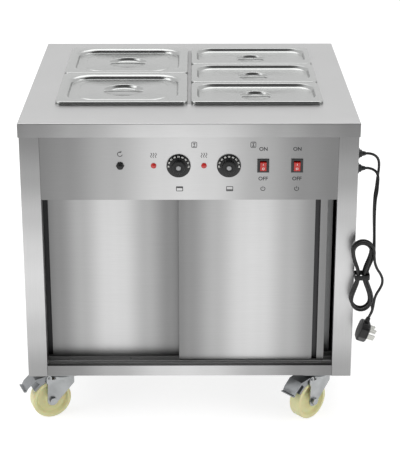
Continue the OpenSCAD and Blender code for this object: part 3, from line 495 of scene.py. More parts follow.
# The two doors are copies of one finish, each with its own painted highlight at its middle.
LEFT_DOOR_SHEET = BrushedStainless(
    "stainless_left_door",
    "#cecece",
    0.32,
    "stainless",
    Grain.ACROSS,
    contrast=0.08,
    painted_sheen_centre=-184.0,
    painted_sheen_half=158.0,
    painted_sheen_stops=((0.0, 1.0), (0.12, 0.98), (0.5, 0.66), (0.85, 0.4), (1.0, 0.35)),
)
RIGHT_DOOR_SHEET = BrushedStainless(
    "stainless_right_door",
    "#d0d0d0",
    0.32,
    "stainless",
    Grain.ACROSS,
    contrast=0.08,
    painted_sheen_centre=152.0,
    painted_sheen_half=178.0,
    painted_sheen_stops=((0.0, 1.0), (0.14, 0.97), (0.5, 0.68), (0.85, 0.43), (1.0, 0.36)),
)
PRESSED_PAN = Metal(
    "stainless_pressed_bright",
    "#b0b1b0",
    0.25,
    "pan_steel",
    grit=6.0,
    mottle=0.015,
    bump=0.01,
    wear=0.015,
)
# Painted shade: dark stainless for the inside of the doors' finger grooves, where shade
# falls.
GROOVE_PAINTED_SHADE = Metal("stainless_groove_painted_shade", "#4b4b4c", 0.5, "stainless", mottle=0.1)
MILL_SHEET = Metal("stainless_mill", "#8f9090", 0.42, "liner_steel", mottle=0.1)
TANK_SHEET = Metal("stainless_tank", "#9c9c9c", 0.4, "pan_steel", mottle=0.1)
ELEMENT_SHEATH = Metal(
    "element_sheath", "#3a3836", 0.5, "element", mottle=0.2, bump=0.2
)
ZINC = Metal(
    "zinc_plated_steel", "#a9abac", 0.36, "zinc", mottle=0.14, grit=1.2, bump=0.16
)
DARK_ZINC = Metal(
    "zinc_pedal", "#8d8f91", 0.4, "zinc", mottle=0.14, grit=1.2, bump=0.16
)
BLACK_ABS = Moulded("abs_black", "#0e0f10", 0.36, "black_plastic")
SWITCH_NYLON = Moulded("nylon_switch_black", "#1b1c1e", 0.3, "black_plastic", coat=0.2)
GLAND_NYLON = Moulded("nylon_gland_black", "#1d1e20", 0.45, "black_plastic")
CORD_PVC = Moulded("pvc_cord_black", "#0d0d0e", 0.4, "rubber_cord", grit=1.0)
PLUG_PVC = Moulded("pvc_plug_black", "#0e0e0f", 0.36, "black_plastic", grit=1.0)
STRAP_NYLON = Moulded("nylon_strap_black", "#121213", 0.6, "black_plastic", bump=0.5)
CREAM_NYLON = Moulded(
    "nylon_cream",
    "#e6e2ae",
    0.42,
    "nylon",
    grit=1.6,
    bump=0.12,
    drift=0.03,
    scatter=0.25,
)
WHITE_INK = Moulded("ink_white", "#f2f2ee", 0.6, "black_plastic", bump=0.05, drift=0.02)
BLACK_INK = Moulded("ink_black", "#202124", 0.6, "stainless", bump=0.05, drift=0.05)
RED_LENS = LampLens("polycarbonate_red", "#b8160e", 0.22, "red_plastic", glow=0.06)
RED_ROCKER = Moulded(
    "polycarbonate_rocker_red",
    "#c01c12",
    0.25,
    "red_plastic",
    bump=0.05,
    drift=0.05,
    coat=0.5,
)
CHROME = Metal(
    "aluminium_cap", "#9b9c9d", 0.32, "stainless", mottle=0.03, bump=0.03, wear=0.03
)
PIN_NICKEL = Metal("nickel_pin", "#bdbdb8", 0.24, "zinc", mottle=0.05, bump=0.04)


# ---- Mesh tools ----


def finish_mesh(
    name: str,
    form: bmesh.types.BMesh,
    finish: Finish,
    body: str = CABINET,
    sharp: float = 35.0,
) -> bpy.types.Object:
    """Turn a bmesh into a dressed piece that rides on a body.

    Args:
        name: the piece's name.
        form: its mesh, in metres; it is freed.
        finish: its finish.
        body: the body it rides on.
        sharp: edges that bend by more degrees than this stay sharp.

    Returns:
        The new object.
    """
    bmesh.ops.remove_doubles(form, verts=form.verts, dist=1e-6)
    bmesh.ops.recalc_face_normals(form, faces=form.faces)
    mesh = bpy.data.meshes.new(name)
    form.to_mesh(mesh)
    form.free()
    mesh.shade_smooth()
    mesh.set_sharp_from_angle(angle=math.radians(sharp))
    made = bpy.data.objects.new(name, mesh)
    bpy.context.scene.collection.objects.link(made)
    mesh.materials.append(finish.material())
    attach(made, body)
    return made


def add_finish(piece: bpy.types.Object, finish: Finish) -> int:
    """Give a piece one more finish and return its index."""
    piece.data.materials.append(finish.material())
    return len(piece.data.materials) - 1


def dress(piece: bpy.types.Object, finish: Finish) -> None:
    """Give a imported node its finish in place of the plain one."""
    piece.data.materials.clear()
    piece.data.materials.append(finish.material())


def add_rings(
    form: bmesh.types.BMesh,
    rings: Sequence[Sequence[Vector]],
    first_cap: bool = True,
    last_cap: bool = True,
    material: int = 0,
) -> list[list[bmesh.types.BMVert]]:
    """Skin a row of rings with as many points each.

    Args:
        form: the mesh to add to.
        rings: the rings' points, in metres.
        first_cap: whether the first ring is filled.
        last_cap: whether the last ring is filled.
        material: index of the finish.

    Returns:
        The new vertices, ring by ring.
    """
    made = [[form.verts.new(p) for p in ring] for ring in rings]
    for low, high in zip(made, made[1:]):
        count = len(low)
        for i in range(count):
            j = (i + 1) % count
            form.faces.new((low[i], low[j], high[j], high[i])).material_index = material
    if first_cap:
        form.faces.new(made[0][::-1]).material_index = material
    if last_cap:
        form.faces.new(made[-1]).material_index = material
    return made


def turned(
    form: bmesh.types.BMesh,
    profile: Outline,
    place: Matrix,
    sides: int = 64,
    radius_at: Callable[[float, float, float], float] | None = None,
) -> None:
    """Turn a profile about the local Z axis.

    Args:
        form: the mesh to add to.
        profile: radius and height of each point, in millimetres, from one end of the axis
            or rim to the other; both ends are filled.
        place: where the piece goes; its translation is in metres.
        sides: how many sides the round has.
        radius_at: changes a radius by its angle and height, for flutes and knurls.
    """
    rings = []
    for radius, height in profile:
        ring = []
        for i in range(sides):
            angle = 2 * math.pi * i / sides
            r = radius_at(radius, height, angle) if radius_at else radius
            local = Vector((r * math.cos(angle), r * math.sin(angle), height)) * MM
            ring.append(place @ local)
        rings.append(ring)
    add_rings(form, rings)


def rounded_outline(width: float, depth: float, radius: float, steps: int = 8) -> Outline:
    """Points of a rounded rectangle about the origin, anticlockwise.

    Args:
        width: its size along x.
        depth: its size along y.
        radius: its corner radius.
        steps: segments in each corner.

    Returns:
        Four times one more than steps points.
    """
    r = min(radius, width / 2 - 0.01, depth / 2 - 0.01)
    points = []
    for corner, (sx, sy) in enumerate(((1, 1), (-1, 1), (-1, -1), (1, -1))):
        for i in range(steps + 1):
            a = math.radians(90 * corner + 90 * i / steps)
            points.append(
                (
                    sx * (width / 2 - r) + r * math.cos(a),
                    sy * (depth / 2 - r) + r * math.sin(a),
                )
            )
    return points


def pressed(
    form: bmesh.types.BMesh,
    levels: Sequence[tuple[Outline, float]],
    place: Matrix,
    first_cap: bool = True,
    last_cap: bool = True,
    material: int = 0,
) -> list[list[bmesh.types.BMVert]]:
    """Skin outlines with as many points each, at their heights.

    Args:
        form: the mesh to add to.
        levels: each outline and its height, in millimetres.
        place: where the piece goes; its translation is in metres.
        first_cap: whether the first outline is filled.
        last_cap: whether the last outline is filled.
        material: index of the finish.

    Returns:
        The new vertices, level by level.
    """
    rings = [[place @ (Vector((x, y, z)) * MM) for x, y in line] for line, z in levels]
    return add_rings(
        form, rings, first_cap=first_cap, last_cap=last_cap, material=material
    )


SHARP_DEG = 30.0


def edged(
    name: str,
    node: str,
    finish: Finish,
    width: float,
) -> bpy.types.Object:
    """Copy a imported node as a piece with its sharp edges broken, and replace the node.

    Args:
        name: the new piece's name.
        node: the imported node's name.
        finish: the piece's finish.
        width: how wide the broken edges are, in millimetres.

    Returns:
        The new piece.
    """
    source = FRAME["nodes"][node]
    form = bmesh.new()
    form.from_mesh(source.data)
    form.transform(source.matrix_world)
    bmesh.ops.remove_doubles(form, verts=form.verts, dist=2e-6)
    bmesh.ops.dissolve_limit(
        form,
        angle_limit=math.radians(0.5),
        use_dissolve_boundaries=False,
        verts=form.verts,
        edges=form.edges,
    )
    made = finish_mesh(name, form, finish, source["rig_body"], sharp=SHARP_DEG)
    bevel = made.modifiers.new("broken_edges", "BEVEL")
    bevel.width = width * MM
    bevel.segments = 2
    bevel.limit_method = "ANGLE"
    bevel.angle_limit = math.radians(SHARP_DEG)
    bevel.use_clamp_overlap = True
    bevel.harden_normals = True
    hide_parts(node)
    return made


# ---- Studio ----


@dataclass
class Studio:
    """Pale floor, soft lamps, a pale room and the camera."""

    focal_mm: float = 110.28
    long_side_mm: float = 36.0
    shift: float = 0.18
    camera_at: Point = (12.0, -3114.0, 1782.0)
    pitch_deg: float = 18.6
    yaw_deg: float = 0.25
    floor_half_m: float = 14.0
    floor_tone: float = 0.86
    floor_glow: float = 1.5
    floor_glow_share: float = 0.5
    room_light: float = 0.62
    mirror_levels: tuple[float, float] = (0.08, 0.95)
    lamps: tuple[tuple[str, Point, Point, float, float], ...] = (
        ("key_softbox", (-4.4, -2.0, 3.0), (0.0, 0.0, 0.5), 3.2, 80.0),
        ("fill_softbox", (4.6, -2.0, 2.4), (0.0, 0.0, 0.45), 3.0, 50.0),
        ("top_softbox", (0.0, 1.4, 4.6), (0.0, 0.0, 0.6), 4.2, 85.0),
    )

    def build(self) -> None:
        """Make the room, floor, lamps and camera."""
        self.build_camera()
        self.build_floor()
        self.build_room()
        for name, place, aim, side, power in self.lamps:
            self.build_lamp(name, place, aim, side, power)
        bpy.context.scene.view_settings.view_transform = "Standard"

    def build_camera(self) -> None:
        """Place the camera as the photograph was taken."""
        data = bpy.data.cameras.new("camera")
        data.sensor_width = self.long_side_mm
        data.sensor_fit = "AUTO"
        data.lens = self.focal_mm
        data.shift_y = -self.shift
        data.clip_end = 100.0
        camera = bpy.data.objects.new("camera", data)
        camera.location = at(*self.camera_at)
        camera.rotation_euler = (
            math.radians(90 - self.pitch_deg),
            0.0,
            math.radians(-self.yaw_deg),
        )
        bpy.context.scene.collection.objects.link(camera)
        bpy.context.scene.camera = camera

    def build_floor(self) -> None:
        """Lay the floor: white to the camera, with the object's soft shadow kept."""
        form = bmesh.new()
        bmesh.ops.create_grid(
            form, x_segments=2, y_segments=2, size=self.floor_half_m
        )
        mesh = bpy.data.meshes.new("studio_floor")
        form.to_mesh(mesh)
        form.free()
        floor = bpy.data.objects.new("studio_floor", mesh)
        floor.location = (0.0, 0.0, -0.0005)
        bpy.context.scene.collection.objects.link(floor)
        material = bpy.data.materials.new("studio_floor_paint")
        material.use_nodes = True
        tree = material.node_tree
        tree.nodes.clear()
        path = add_node(tree, "ShaderNodeLightPath")
        rays = [path.outputs["Is " + kind + " Ray"] for kind in ("Camera", "Glossy")]
        seen = calculate(tree, "MAXIMUM", *rays)
        share = calculate(tree, "MULTIPLY", seen, self.floor_glow_share)
        tone = self.floor_tone
        paint = add_node(
            tree, "ShaderNodeBsdfDiffuse", inputs={"Color": (tone, tone, tone, 1.0)}
        )
        white = add_node(
            tree,
            "ShaderNodeEmission",
            inputs={"Color": WHITE, "Strength": self.floor_glow},
        )
        mixed = add_node(
            tree,
            "ShaderNodeMixShader",
            inputs={0: share, 1: paint.outputs[0], 2: white.outputs[0]},
        )
        add_node(tree, "ShaderNodeOutputMaterial", inputs={0: mixed.outputs[0]})
        mesh.materials.append(material)

    def build_room(self) -> None:
        """Light the room: white behind the object, and softer towards the front."""
        world = bpy.data.worlds.new("studio_room")
        world.use_nodes = True
        bpy.context.scene.world = world
        tree = world.node_tree
        tree.nodes.clear()
        path = add_node(tree, "ShaderNodeLightPath")
        rays = [path.outputs["Is " + kind + " Ray"] for kind in ("Camera", "Transmission")]
        seen = calculate(tree, "MAXIMUM", *rays)
        level = add_node(
            tree,
            "ShaderNodeMix",
            {"data_type": "FLOAT"},
            {0: seen, 2: self.mirrored(tree, path), 3: 1.0},
        ).outputs[0]
        light = add_node(
            tree,
            "ShaderNodeBackground",
            inputs={"Color": WHITE, "Strength": level},
        )
        add_node(tree, "ShaderNodeOutputWorld", inputs={0: light.outputs[0]})

    def mirrored(
        self, tree: bpy.types.NodeTree, path: bpy.types.Node
    ) -> bpy.types.NodeSocket:
        """Level of the room for rays that light the object or that metal mirrors.

        Args:
            tree: the world's tree.
            path: its light path node.

        Returns:
            A strength, which for mirrored rays falls off in front of the object.
        """
        way = add_node(tree, "ShaderNodeTexCoord").outputs["Generated"]
        axes = add_node(tree, "ShaderNodeSeparateXYZ", inputs={0: way})
        behind = spread(tree, axes.outputs[1], (0.0, 1.0), (-0.5, 0.15), smooth=True)
        above = spread(tree, axes.outputs[2], (0.0, 1.0), (0.86, 1.0), smooth=True)
        open_room = calculate(tree, "MAXIMUM", behind, above)
        mirror = spread(tree, open_room, self.mirror_levels)
        return add_node(
            tree,
            "ShaderNodeMix",
            {"data_type": "FLOAT"},
            {0: path.outputs["Is Glossy Ray"], 2: self.room_light, 3: mirror},
        ).outputs[0]

    def build_lamp(
        self, name: str, place: Point, aim: Point, side: float, power: float
    ) -> None:
        """Hang a square softbox.

        Args:
            name: the lamp's name.
            place: where it hangs, in metres.
            aim: what it points at, in metres.
            side: its side, in metres.
            power: its power, in watts.
        """
        data = bpy.data.lights.new(name, "AREA")
        data.shape = "SQUARE"
        data.size = side
        data.energy = power
        lamp = bpy.data.objects.new(name, data)
        lamp.location = place
        way = Vector(aim) - Vector(place)
        lamp.rotation_euler = way.to_track_quat("-Z", "Y").to_euler()
        bpy.context.scene.collection.objects.link(lamp)


# ---- Mains leads ----


def smooth_path(points: Sequence[Point], steps: int) -> list[Point]:
    """Run a Catmull-Rom curve through a route's points.

    Args:
        points: the route.
        steps: how many steps there are between two points.

    Returns:
        Points along the curve, with both ends.
    """
    knots = [Vector(p) for p in points]
    knots = [2 * knots[0] - knots[1], *knots, 2 * knots[-1] - knots[-2]]
    done: list[Point] = []
    for a, b, c, d in zip(knots, knots[1:], knots[2:], knots[3:]):
        for i in range(steps):
            u = i / steps
            p = (
                2 * b
                + (c - a) * u
                + (2 * a - 5 * b + 4 * c - d) * u**2
                + (3 * b - a - 3 * c + d) * u**3
            ) / 2
            done.append(tuple(p))
    return [*done, tuple(knots[-2])]


def eased(share: float) -> float:
    """Smooth step from 0 to 1, clamped outside them."""
    return (1 - math.cos(math.pi * min(1.0, max(0.0, share)))) / 2


@dataclass
class Hank:
    """A lead wound into a hank: long loops that cross their middle close together."""

    turns: float
    front_t: float
    middle_x: float = 415.0
    drop: float = 378.0
    run: float = 128.0
    cord_d: float = 6.5
    gap: float = 0.9
    inner_r: float = 19.5
    steps: int = 96

    def loop_spread(self, u: float) -> float:
        """Half the width of loop u at its folds."""
        return self.inner_r + (self.cord_d + self.gap) * abs(u - self.turns / 2)

    def waist_spread(self, u: float) -> float:
        """Half the width of loop u at its waist."""
        step = self.cord_d + 1.6 * self.gap
        return self.cord_d / 2 + self.gap + step * abs(u - self.turns / 2)

    def layer(self, u: float) -> float:
        """Place of loop u from front to back."""
        share = eased(2 * (u - self.turns / 2) + 0.5)
        return -(self.cord_d + self.gap) * share

    def side(self, height: float, u: float) -> float:
        """Half the width of loop u at a height from its waist."""
        waist = self.waist_spread(u)
        opened = eased(abs(height) / (self.run / 2))
        return waist + (self.loop_spread(u) - waist) * opened

    def point(self, u: float) -> Point:
        """Point of the hank after u turns: x and z from its middle, and depth."""
        part = 4 * (u - math.floor(u))
        r = self.loop_spread(u)
        y = self.layer(u)
        half = self.run / 2
        if part < 1:
            height = self.run * (0.5 - part)
            return (self.side(height, u), y, height)
        if part < 2:
            a = math.pi * (part - 1)
            return (r * math.cos(a), y, -half - r * math.sin(a))
        if part < 3:
            height = self.run * (part - 2.5)
            return (-self.side(height, u), y, height)
        a = math.pi * (part - 3)
        return (-r * math.cos(a), y, half + r * math.sin(a))

    def placed(self, local: Point) -> Point:
        """Place of a hank's point as x, depth t and drop under the top."""
        x, y, z = local
        return (x + self.middle_x, y + self.front_t, self.drop - z)

    def start(self) -> Point:
        """Where the hank takes over from its lead."""
        top = self.run / 2 + self.cord_d
        return self.placed((self.loop_spread(0), 0.0, top))

    def end(self) -> Point:
        """Where the hank's last run ends."""
        u = self.turns
        height = self.run / 2 if u == math.floor(u) else -self.run / 2
        return self.placed((self.loop_spread(u), self.layer(u), height))

    def path(self) -> list[Point]:
        """Points all along the hank, with its straight ends."""
        count = int(self.turns * self.steps)
        last = self.end()
        wound = [self.placed(self.point(i / self.steps)) for i in range(count)]
        return [self.start(), *wound, last, (last[0], last[1], last[2] + self.cord_d)]


@dataclass
class Leads:
    """Two mains leads, each wound into a hank that hangs beside the front post."""

    cord_d: float = 6.5
    upper_length_m: float = 1.29
    lower_length_m: float = 1.22
    upper: Hank = field(default_factory=lambda: Hank(turns=2.25, front_t=-8.0))
    lower: Hank = field(default_factory=lambda: Hank(turns=2.0, front_t=-24.5))
    gland_x: float = 421.0
    gland_t: float = 40.0
    gland_drops: tuple[float, float] = (88.0, 125.0)
    body_x: float = 400.0
    plug_tilt_deg: float = 20.0
    upper_plug_at: Point = (438.5, 17.5, 513.0)
    lower_plug_at: Point = (434.0, -32.0, 484.0)
    upper_route: tuple[Point, ...] = (
        (421, 40, 88), (428, 40, 88), (439, 40.5, 91), (448, 41.5, 98), (453, 42.5, 109),
        (454, 43.5, 123), (453, 44, 139), (451, 43.5, 156), (449, 41, 174),
        (446, 36.5, 192), (444.5, 30, 210), (443.5, 22, 228), (443, 13, 245),
        (442.9, 4.5, 261), (442.9, -2.5, 277), (442.8, -6.7, 292),
    )
    lower_route: tuple[Point, ...] = (
        (421, 40, 125), (428, 40, 125), (439, 39, 128), (448, 37, 135), (452, 34.5, 147),
        (451.5, 31, 163), (450, 26.5, 180), (446.5, 20, 197), (444.5, 12, 214),
        (443.2, 3, 231), (442.4, -5.5, 248), (442, -13, 265), (441.9, -19, 281),
        (441.9, -23, 295),
    )
    upper_tail: tuple[Point, ...] = (
        (442.9, -15.4, 456), (444, -13, 464), (445.5, -7, 474), (446, 0.5, 483),
        (445, 8.5, 492), (442.5, 14.5, 502),
    )
    lower_tail: tuple[Point, ...] = (
        (442.4, -31.9, 328), (444.5, -32, 342), (450, -32, 356), (457.5, -32, 368),
        (463, -32, 381), (463, -32, 395), (458, -32, 408), (451.5, -32, 420),
        (447, -32, 433), (445, -32, 447), (443, -32, 461), (439, -32, 473),
    )

    def build(self) -> None:
        """Make both leads with their plugs, the tie and the glands."""
        tie = self.build_tie()
        upper_plug = self.build_plug("upper_plug_moulding", self.upper_plug_at)
        lower_plug = self.build_plug("lower_plug_moulding", self.lower_plug_at)
        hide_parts("upper_plug")
        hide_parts("lower_plug")
        upper = self.build_cord(
            "upper_cord", self.upper_route, self.upper, self.upper_tail, self.upper_plug_at
        )
        lower = self.build_cord(
            "lower_cord", self.lower_route, self.lower, self.lower_tail, self.lower_plug_at
        )
        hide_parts("upper_lead", "upper_hank")
        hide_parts("lower_lead", "lower_hank")
        self.build_glands()

    def build_cord(
        self,
        name: str,
        route: Sequence[Point],
        hank: Hank,
        tail: Sequence[Point],
        plug_at: Point,
    ) -> bpy.types.Object:
        """Make one lead from its gland to its plug as a single curve.

        Args:
            name: the piece's name.
            route: points from the gland to the hank, as x, depth and drop.
            hank: the hank.
            tail: points from the hank to the plug.
            plug_at: where the lead enters the plug.

        Returns:
            The curve.
        """
        wound = hank.path()
        line = [
            *smooth_path([*route, wound[0]], 6)[:-1],
            *wound[:-1],
            *smooth_path([wound[-1], *tail, plug_at], 6),
        ]
        data = bpy.data.curves.new(name, "CURVE")
        data.dimensions = "3D"
        data.bevel_depth = self.cord_d / 2 * MM
        data.bevel_resolution = 4
        data.use_fill_caps = True
        spline = data.splines.new("POLY")
        spline.points.add(len(line) - 1)
        for knot, (x, t, drop) in zip(spline.points, line):
            knot.co = (*at(x, t, TOP_Z - drop), 1.0)
        spline.use_smooth = True
        cord = bpy.data.objects.new(name, data)
        bpy.context.scene.collection.objects.link(cord)
        data.materials.append(CORD_PVC.material())
        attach(cord, CABINET)
        length = sum((Vector(b) - Vector(a)).length for a, b in zip(line, line[1:]))
        LOG.info("%s is %.3f m long", name, length * MM)
        return cord

    def build_plug(self, name: str, place: Point) -> bpy.types.Object:
        """Make a moulded plug with a tapered neck, finger ribs and three pins.

        Args:
            name: the piece's name.
            place: where its lead enters it, as x, depth and drop.

        Returns:
            The plug.
        """
        width, length, thick, neck, corner = 48.0, 44.0, 22.0, 12.0, 3.2
        x, t, drop = place
        turn = Matrix.Rotation(math.radians(self.plug_tilt_deg), 4, "Y")
        frame = Matrix.Translation(at(x, t, TOP_Z - drop)) @ turn
        form = bmesh.new()
        ribs = 5
        profile = [(5.0, 0.0)]
        for i in range(ribs):
            z = -(i + 0.25) * neck / ribs
            r = 5.0 + 1.9 * (i + 0.5) / ribs
            profile += [(r, z), (r, z - 1.2), (r - 0.8, z - 1.5), (r - 0.8, z - 2.1)]
        turned(form, [*profile, (7.0, -neck)], frame, 32)
        middle = frame @ Matrix.Translation((0, 0, -(neck + length / 2) * MM))
        across = middle @ Matrix.Rotation(math.radians(90), 4, "Y")
        levels = []
        for share, inset in (
            (-1.0, 3.0), (-0.97, 1.6), (-0.86, 0.5), (-0.6, 0.0), (0.45, 0.0), (0.5, 0.7),
            (0.62, 0.7), (0.67, 0.0), (0.86, 0.5), (0.97, 1.6), (1.0, 3.0),
        ):
            outline = self.shield(length / 2 - inset, width / 2 - inset, corner, inset)
            levels.append((outline, share * thick / 2))
        pressed(form, levels, across)
        self.add_fuse_door(form, across, thick / 2)
        plug = finish_mesh(name, form, PLUG_PVC, sharp=40)
        metal = add_finish(plug, PIN_NICKEL)
        form = bmesh.new()
        form.from_mesh(plug.data)
        for y in (-11.0, 11.0):
            self.add_pin(form, middle, (thick / 2, y, 8.0 + 2.0), 18.0, 6.3, 4.0, metal)
        self.add_pin(form, middle, (thick / 2, 0.0, -11.0), 23.0, 4.0, 8.0, metal)
        form.to_mesh(plug.data)
        form.free()
        return plug

    @staticmethod
    def shield(half_long: float, half_wide: float, corner: float, inset: float) -> Outline:
        """Outline of the plug's body: a rectangle with four broad cut corners.

        Args:
            half_long: half its length, along x.
            half_wide: half its width, along y.
            corner: how far each corner is rounded.
            inset: how far this outline lies inside the whole one.

        Returns:
            The outline's points.
        """
        reach = 25.0 * math.sqrt(2) - inset * 1.2
        a, b = reach - half_long, reach - half_wide
        corners = [
            Vector((sx * px, sy * py))
            for sx, sy, pair in (
                (1, 1, ((half_long, a), (b, half_wide))),
                (-1, 1, ((b, half_wide), (half_long, a))),
                (-1, -1, ((half_long, a), (b, half_wide))),
                (1, -1, ((b, half_wide), (half_long, a))),
            )
            for px, py in pair
        ]
        points: Outline = []
        for i, here in enumerate(corners):
            before, after = corners[i - 1], corners[(i + 1) % len(corners)]
            back = here + (before - here).normalized() * corner
            onward = here + (after - here).normalized() * corner
            for step in range(5):
                u = step / 4
                p = back * (1 - u) ** 2 + here * 2 * u * (1 - u) + onward * u**2
                points.append((p.x, p.y))
        return points

    @staticmethod
    def add_fuse_door(form: bmesh.types.BMesh, across: Matrix, face: float) -> None:
        """Add the shallow raised fuse door on the pins' side."""
        outline = rounded_outline(9.0, 22.0, 1.5, 3)
        small = rounded_outline(8.2, 21.2, 1.2, 3)
        low = across @ Matrix.Translation((-6.0 * MM, 0, 0))
        pressed(
            form,
            [(outline, face - 0.4), (outline, face + 0.3), (small, face + 0.6)],
            low,
        )

    @staticmethod
    def add_pin(
        form: bmesh.types.BMesh,
        middle: Matrix,
        root: Point,
        reach: float,
        wide: float,
        thick: float,
        material: int,
    ) -> None:
        """Add one flat pin with a chamfered tip.

        Args:
            form: the plug's mesh.
            middle: the frame at the body's middle.
            root: the pin's middle where it leaves the body.
            reach: how far it stands out.
            wide: its size along y.
            thick: its size along z.
            material: index of its finish.
        """
        x, y, z = root
        frame = middle @ Matrix.Translation(Vector((x - 1.0, y, z)) * MM)
        frame = frame @ Matrix.Rotation(math.radians(90), 4, "Y")
        levels = [
            (rounded_outline(thick - cut, wide - cut, 0.5, 2), height)
            for cut, height in (
                (0.0, 0.0), (0.0, reach - 1.0), (0.5, reach + 0.3), (1.6, reach + 1.0),
            )
        ]
        pressed(form, levels, frame, material=material)

    def build_tie(self) -> bpy.types.Object:
        """Make the hook-and-loop strap round both hanks, with its lapped end."""
        width, wall, room, corner = 12.0, 1.4, 0.6, 5.0
        half_w = self.upper.waist_spread(0) + self.cord_d / 2 + room
        front = self.lower.front_t - (self.cord_d + self.lower.gap) - self.cord_d / 2 - room
        back = self.upper.front_t + self.cord_d / 2 + room
        depth = back - front
        middle = Matrix.Translation(
            at(self.upper.middle_x, (front + back) / 2, TOP_Z - self.upper.drop)
        )
        form = bmesh.new()
        inner = rounded_outline(2 * half_w, depth, corner, 6)
        outer = rounded_outline(2 * (half_w + wall), depth + 2 * wall, corner + wall, 6)
        soft = rounded_outline(
            2 * (half_w + wall) - 0.5, depth + 2 * wall - 0.5, corner + wall - 0.25, 6
        )
        h = width / 2
        levels = [(inner, -h), (soft, -h), (outer, -h + 0.4), (outer, h - 0.4), (soft, h)]
        rings = pressed(form, [*levels, (inner, h)], middle, False, False)
        count = len(rings[0])
        for i in range(count):
            j = (i + 1) % count
            form.faces.new((rings[-1][i], rings[-1][j], rings[0][j], rings[0][i]))
        tie = finish_mesh("hank_strap", form, STRAP_NYLON)
        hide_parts("hank_tie")
        return tie

    def build_glands(self) -> None:
        """Make both glands: hexagon nut, fluted dome and a tapered ribbed boot."""
        form = bmesh.new()
        nut_r, nut_h, reach, tip_r = 13.7, 6.0, 21.0, 4.6
        for drop in self.gland_drops:
            place = Matrix.Translation(at(self.body_x, self.gland_t, TOP_Z - drop))
            place = place @ Matrix.Rotation(math.radians(90), 4, "Y")
            nut = [(nut_r - 0.8, 0.0), (nut_r, 0.7), (nut_r, nut_h - 0.7)]
            turned(form, [*nut, (nut_r - 0.8, nut_h)], place, 6)

            def fluted(radius: float, height: float, angle: float) -> float:
                """Radius of the dome with its grip flutes."""
                deep = 0.5 if nut_h + 0.8 < height < nut_h + 4.5 else 0.0
                return radius - deep * (0.5 + 0.5 * math.cos(12 * angle))

            turned(
                form,
                [
                    (9.8, nut_h - 0.2), (9.8, nut_h + 0.6), (9.6, nut_h + 1.0),
                    (9.4, nut_h + 4.2), (8.9, nut_h + 4.8), (7.6, nut_h + 5.6),
                    (6.6, nut_h + 5.8), (6.4, nut_h + 7.6), (5.7, nut_h + 7.9),
                    (6.0, nut_h + 8.3), (5.8, nut_h + 9.9), (5.2, nut_h + 10.2),
                    (5.5, nut_h + 10.6), (5.3, nut_h + 12.2), (4.8, nut_h + 12.5),
                    (5.0, nut_h + 12.9), (tip_r, reach - 0.4), (3.6, reach),
                ],
                place,
                48,
                radius_at=fluted,
            )
        glands = finish_mesh("cable_gland_boots", form, GLAND_NYLON, sharp=30)
        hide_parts("cable_glands")


# ---- Pans and lids ----


class PanSize(Enum):
    """Catering sizes of the pans: rim from front to back, lid's dish and field corner."""

    HALF = (265.0, 103.0, 54.0)
    THIRD = (176.0, 79.0, 42.0)


# Field's wall: inset of its lip, lip and foot radius, and slope in degrees
HALF_WALL = (16.0, 11.0, 2.0, 72.0)
THIRD_WALL = (13.0, 2.5, 8.0, 58.0)


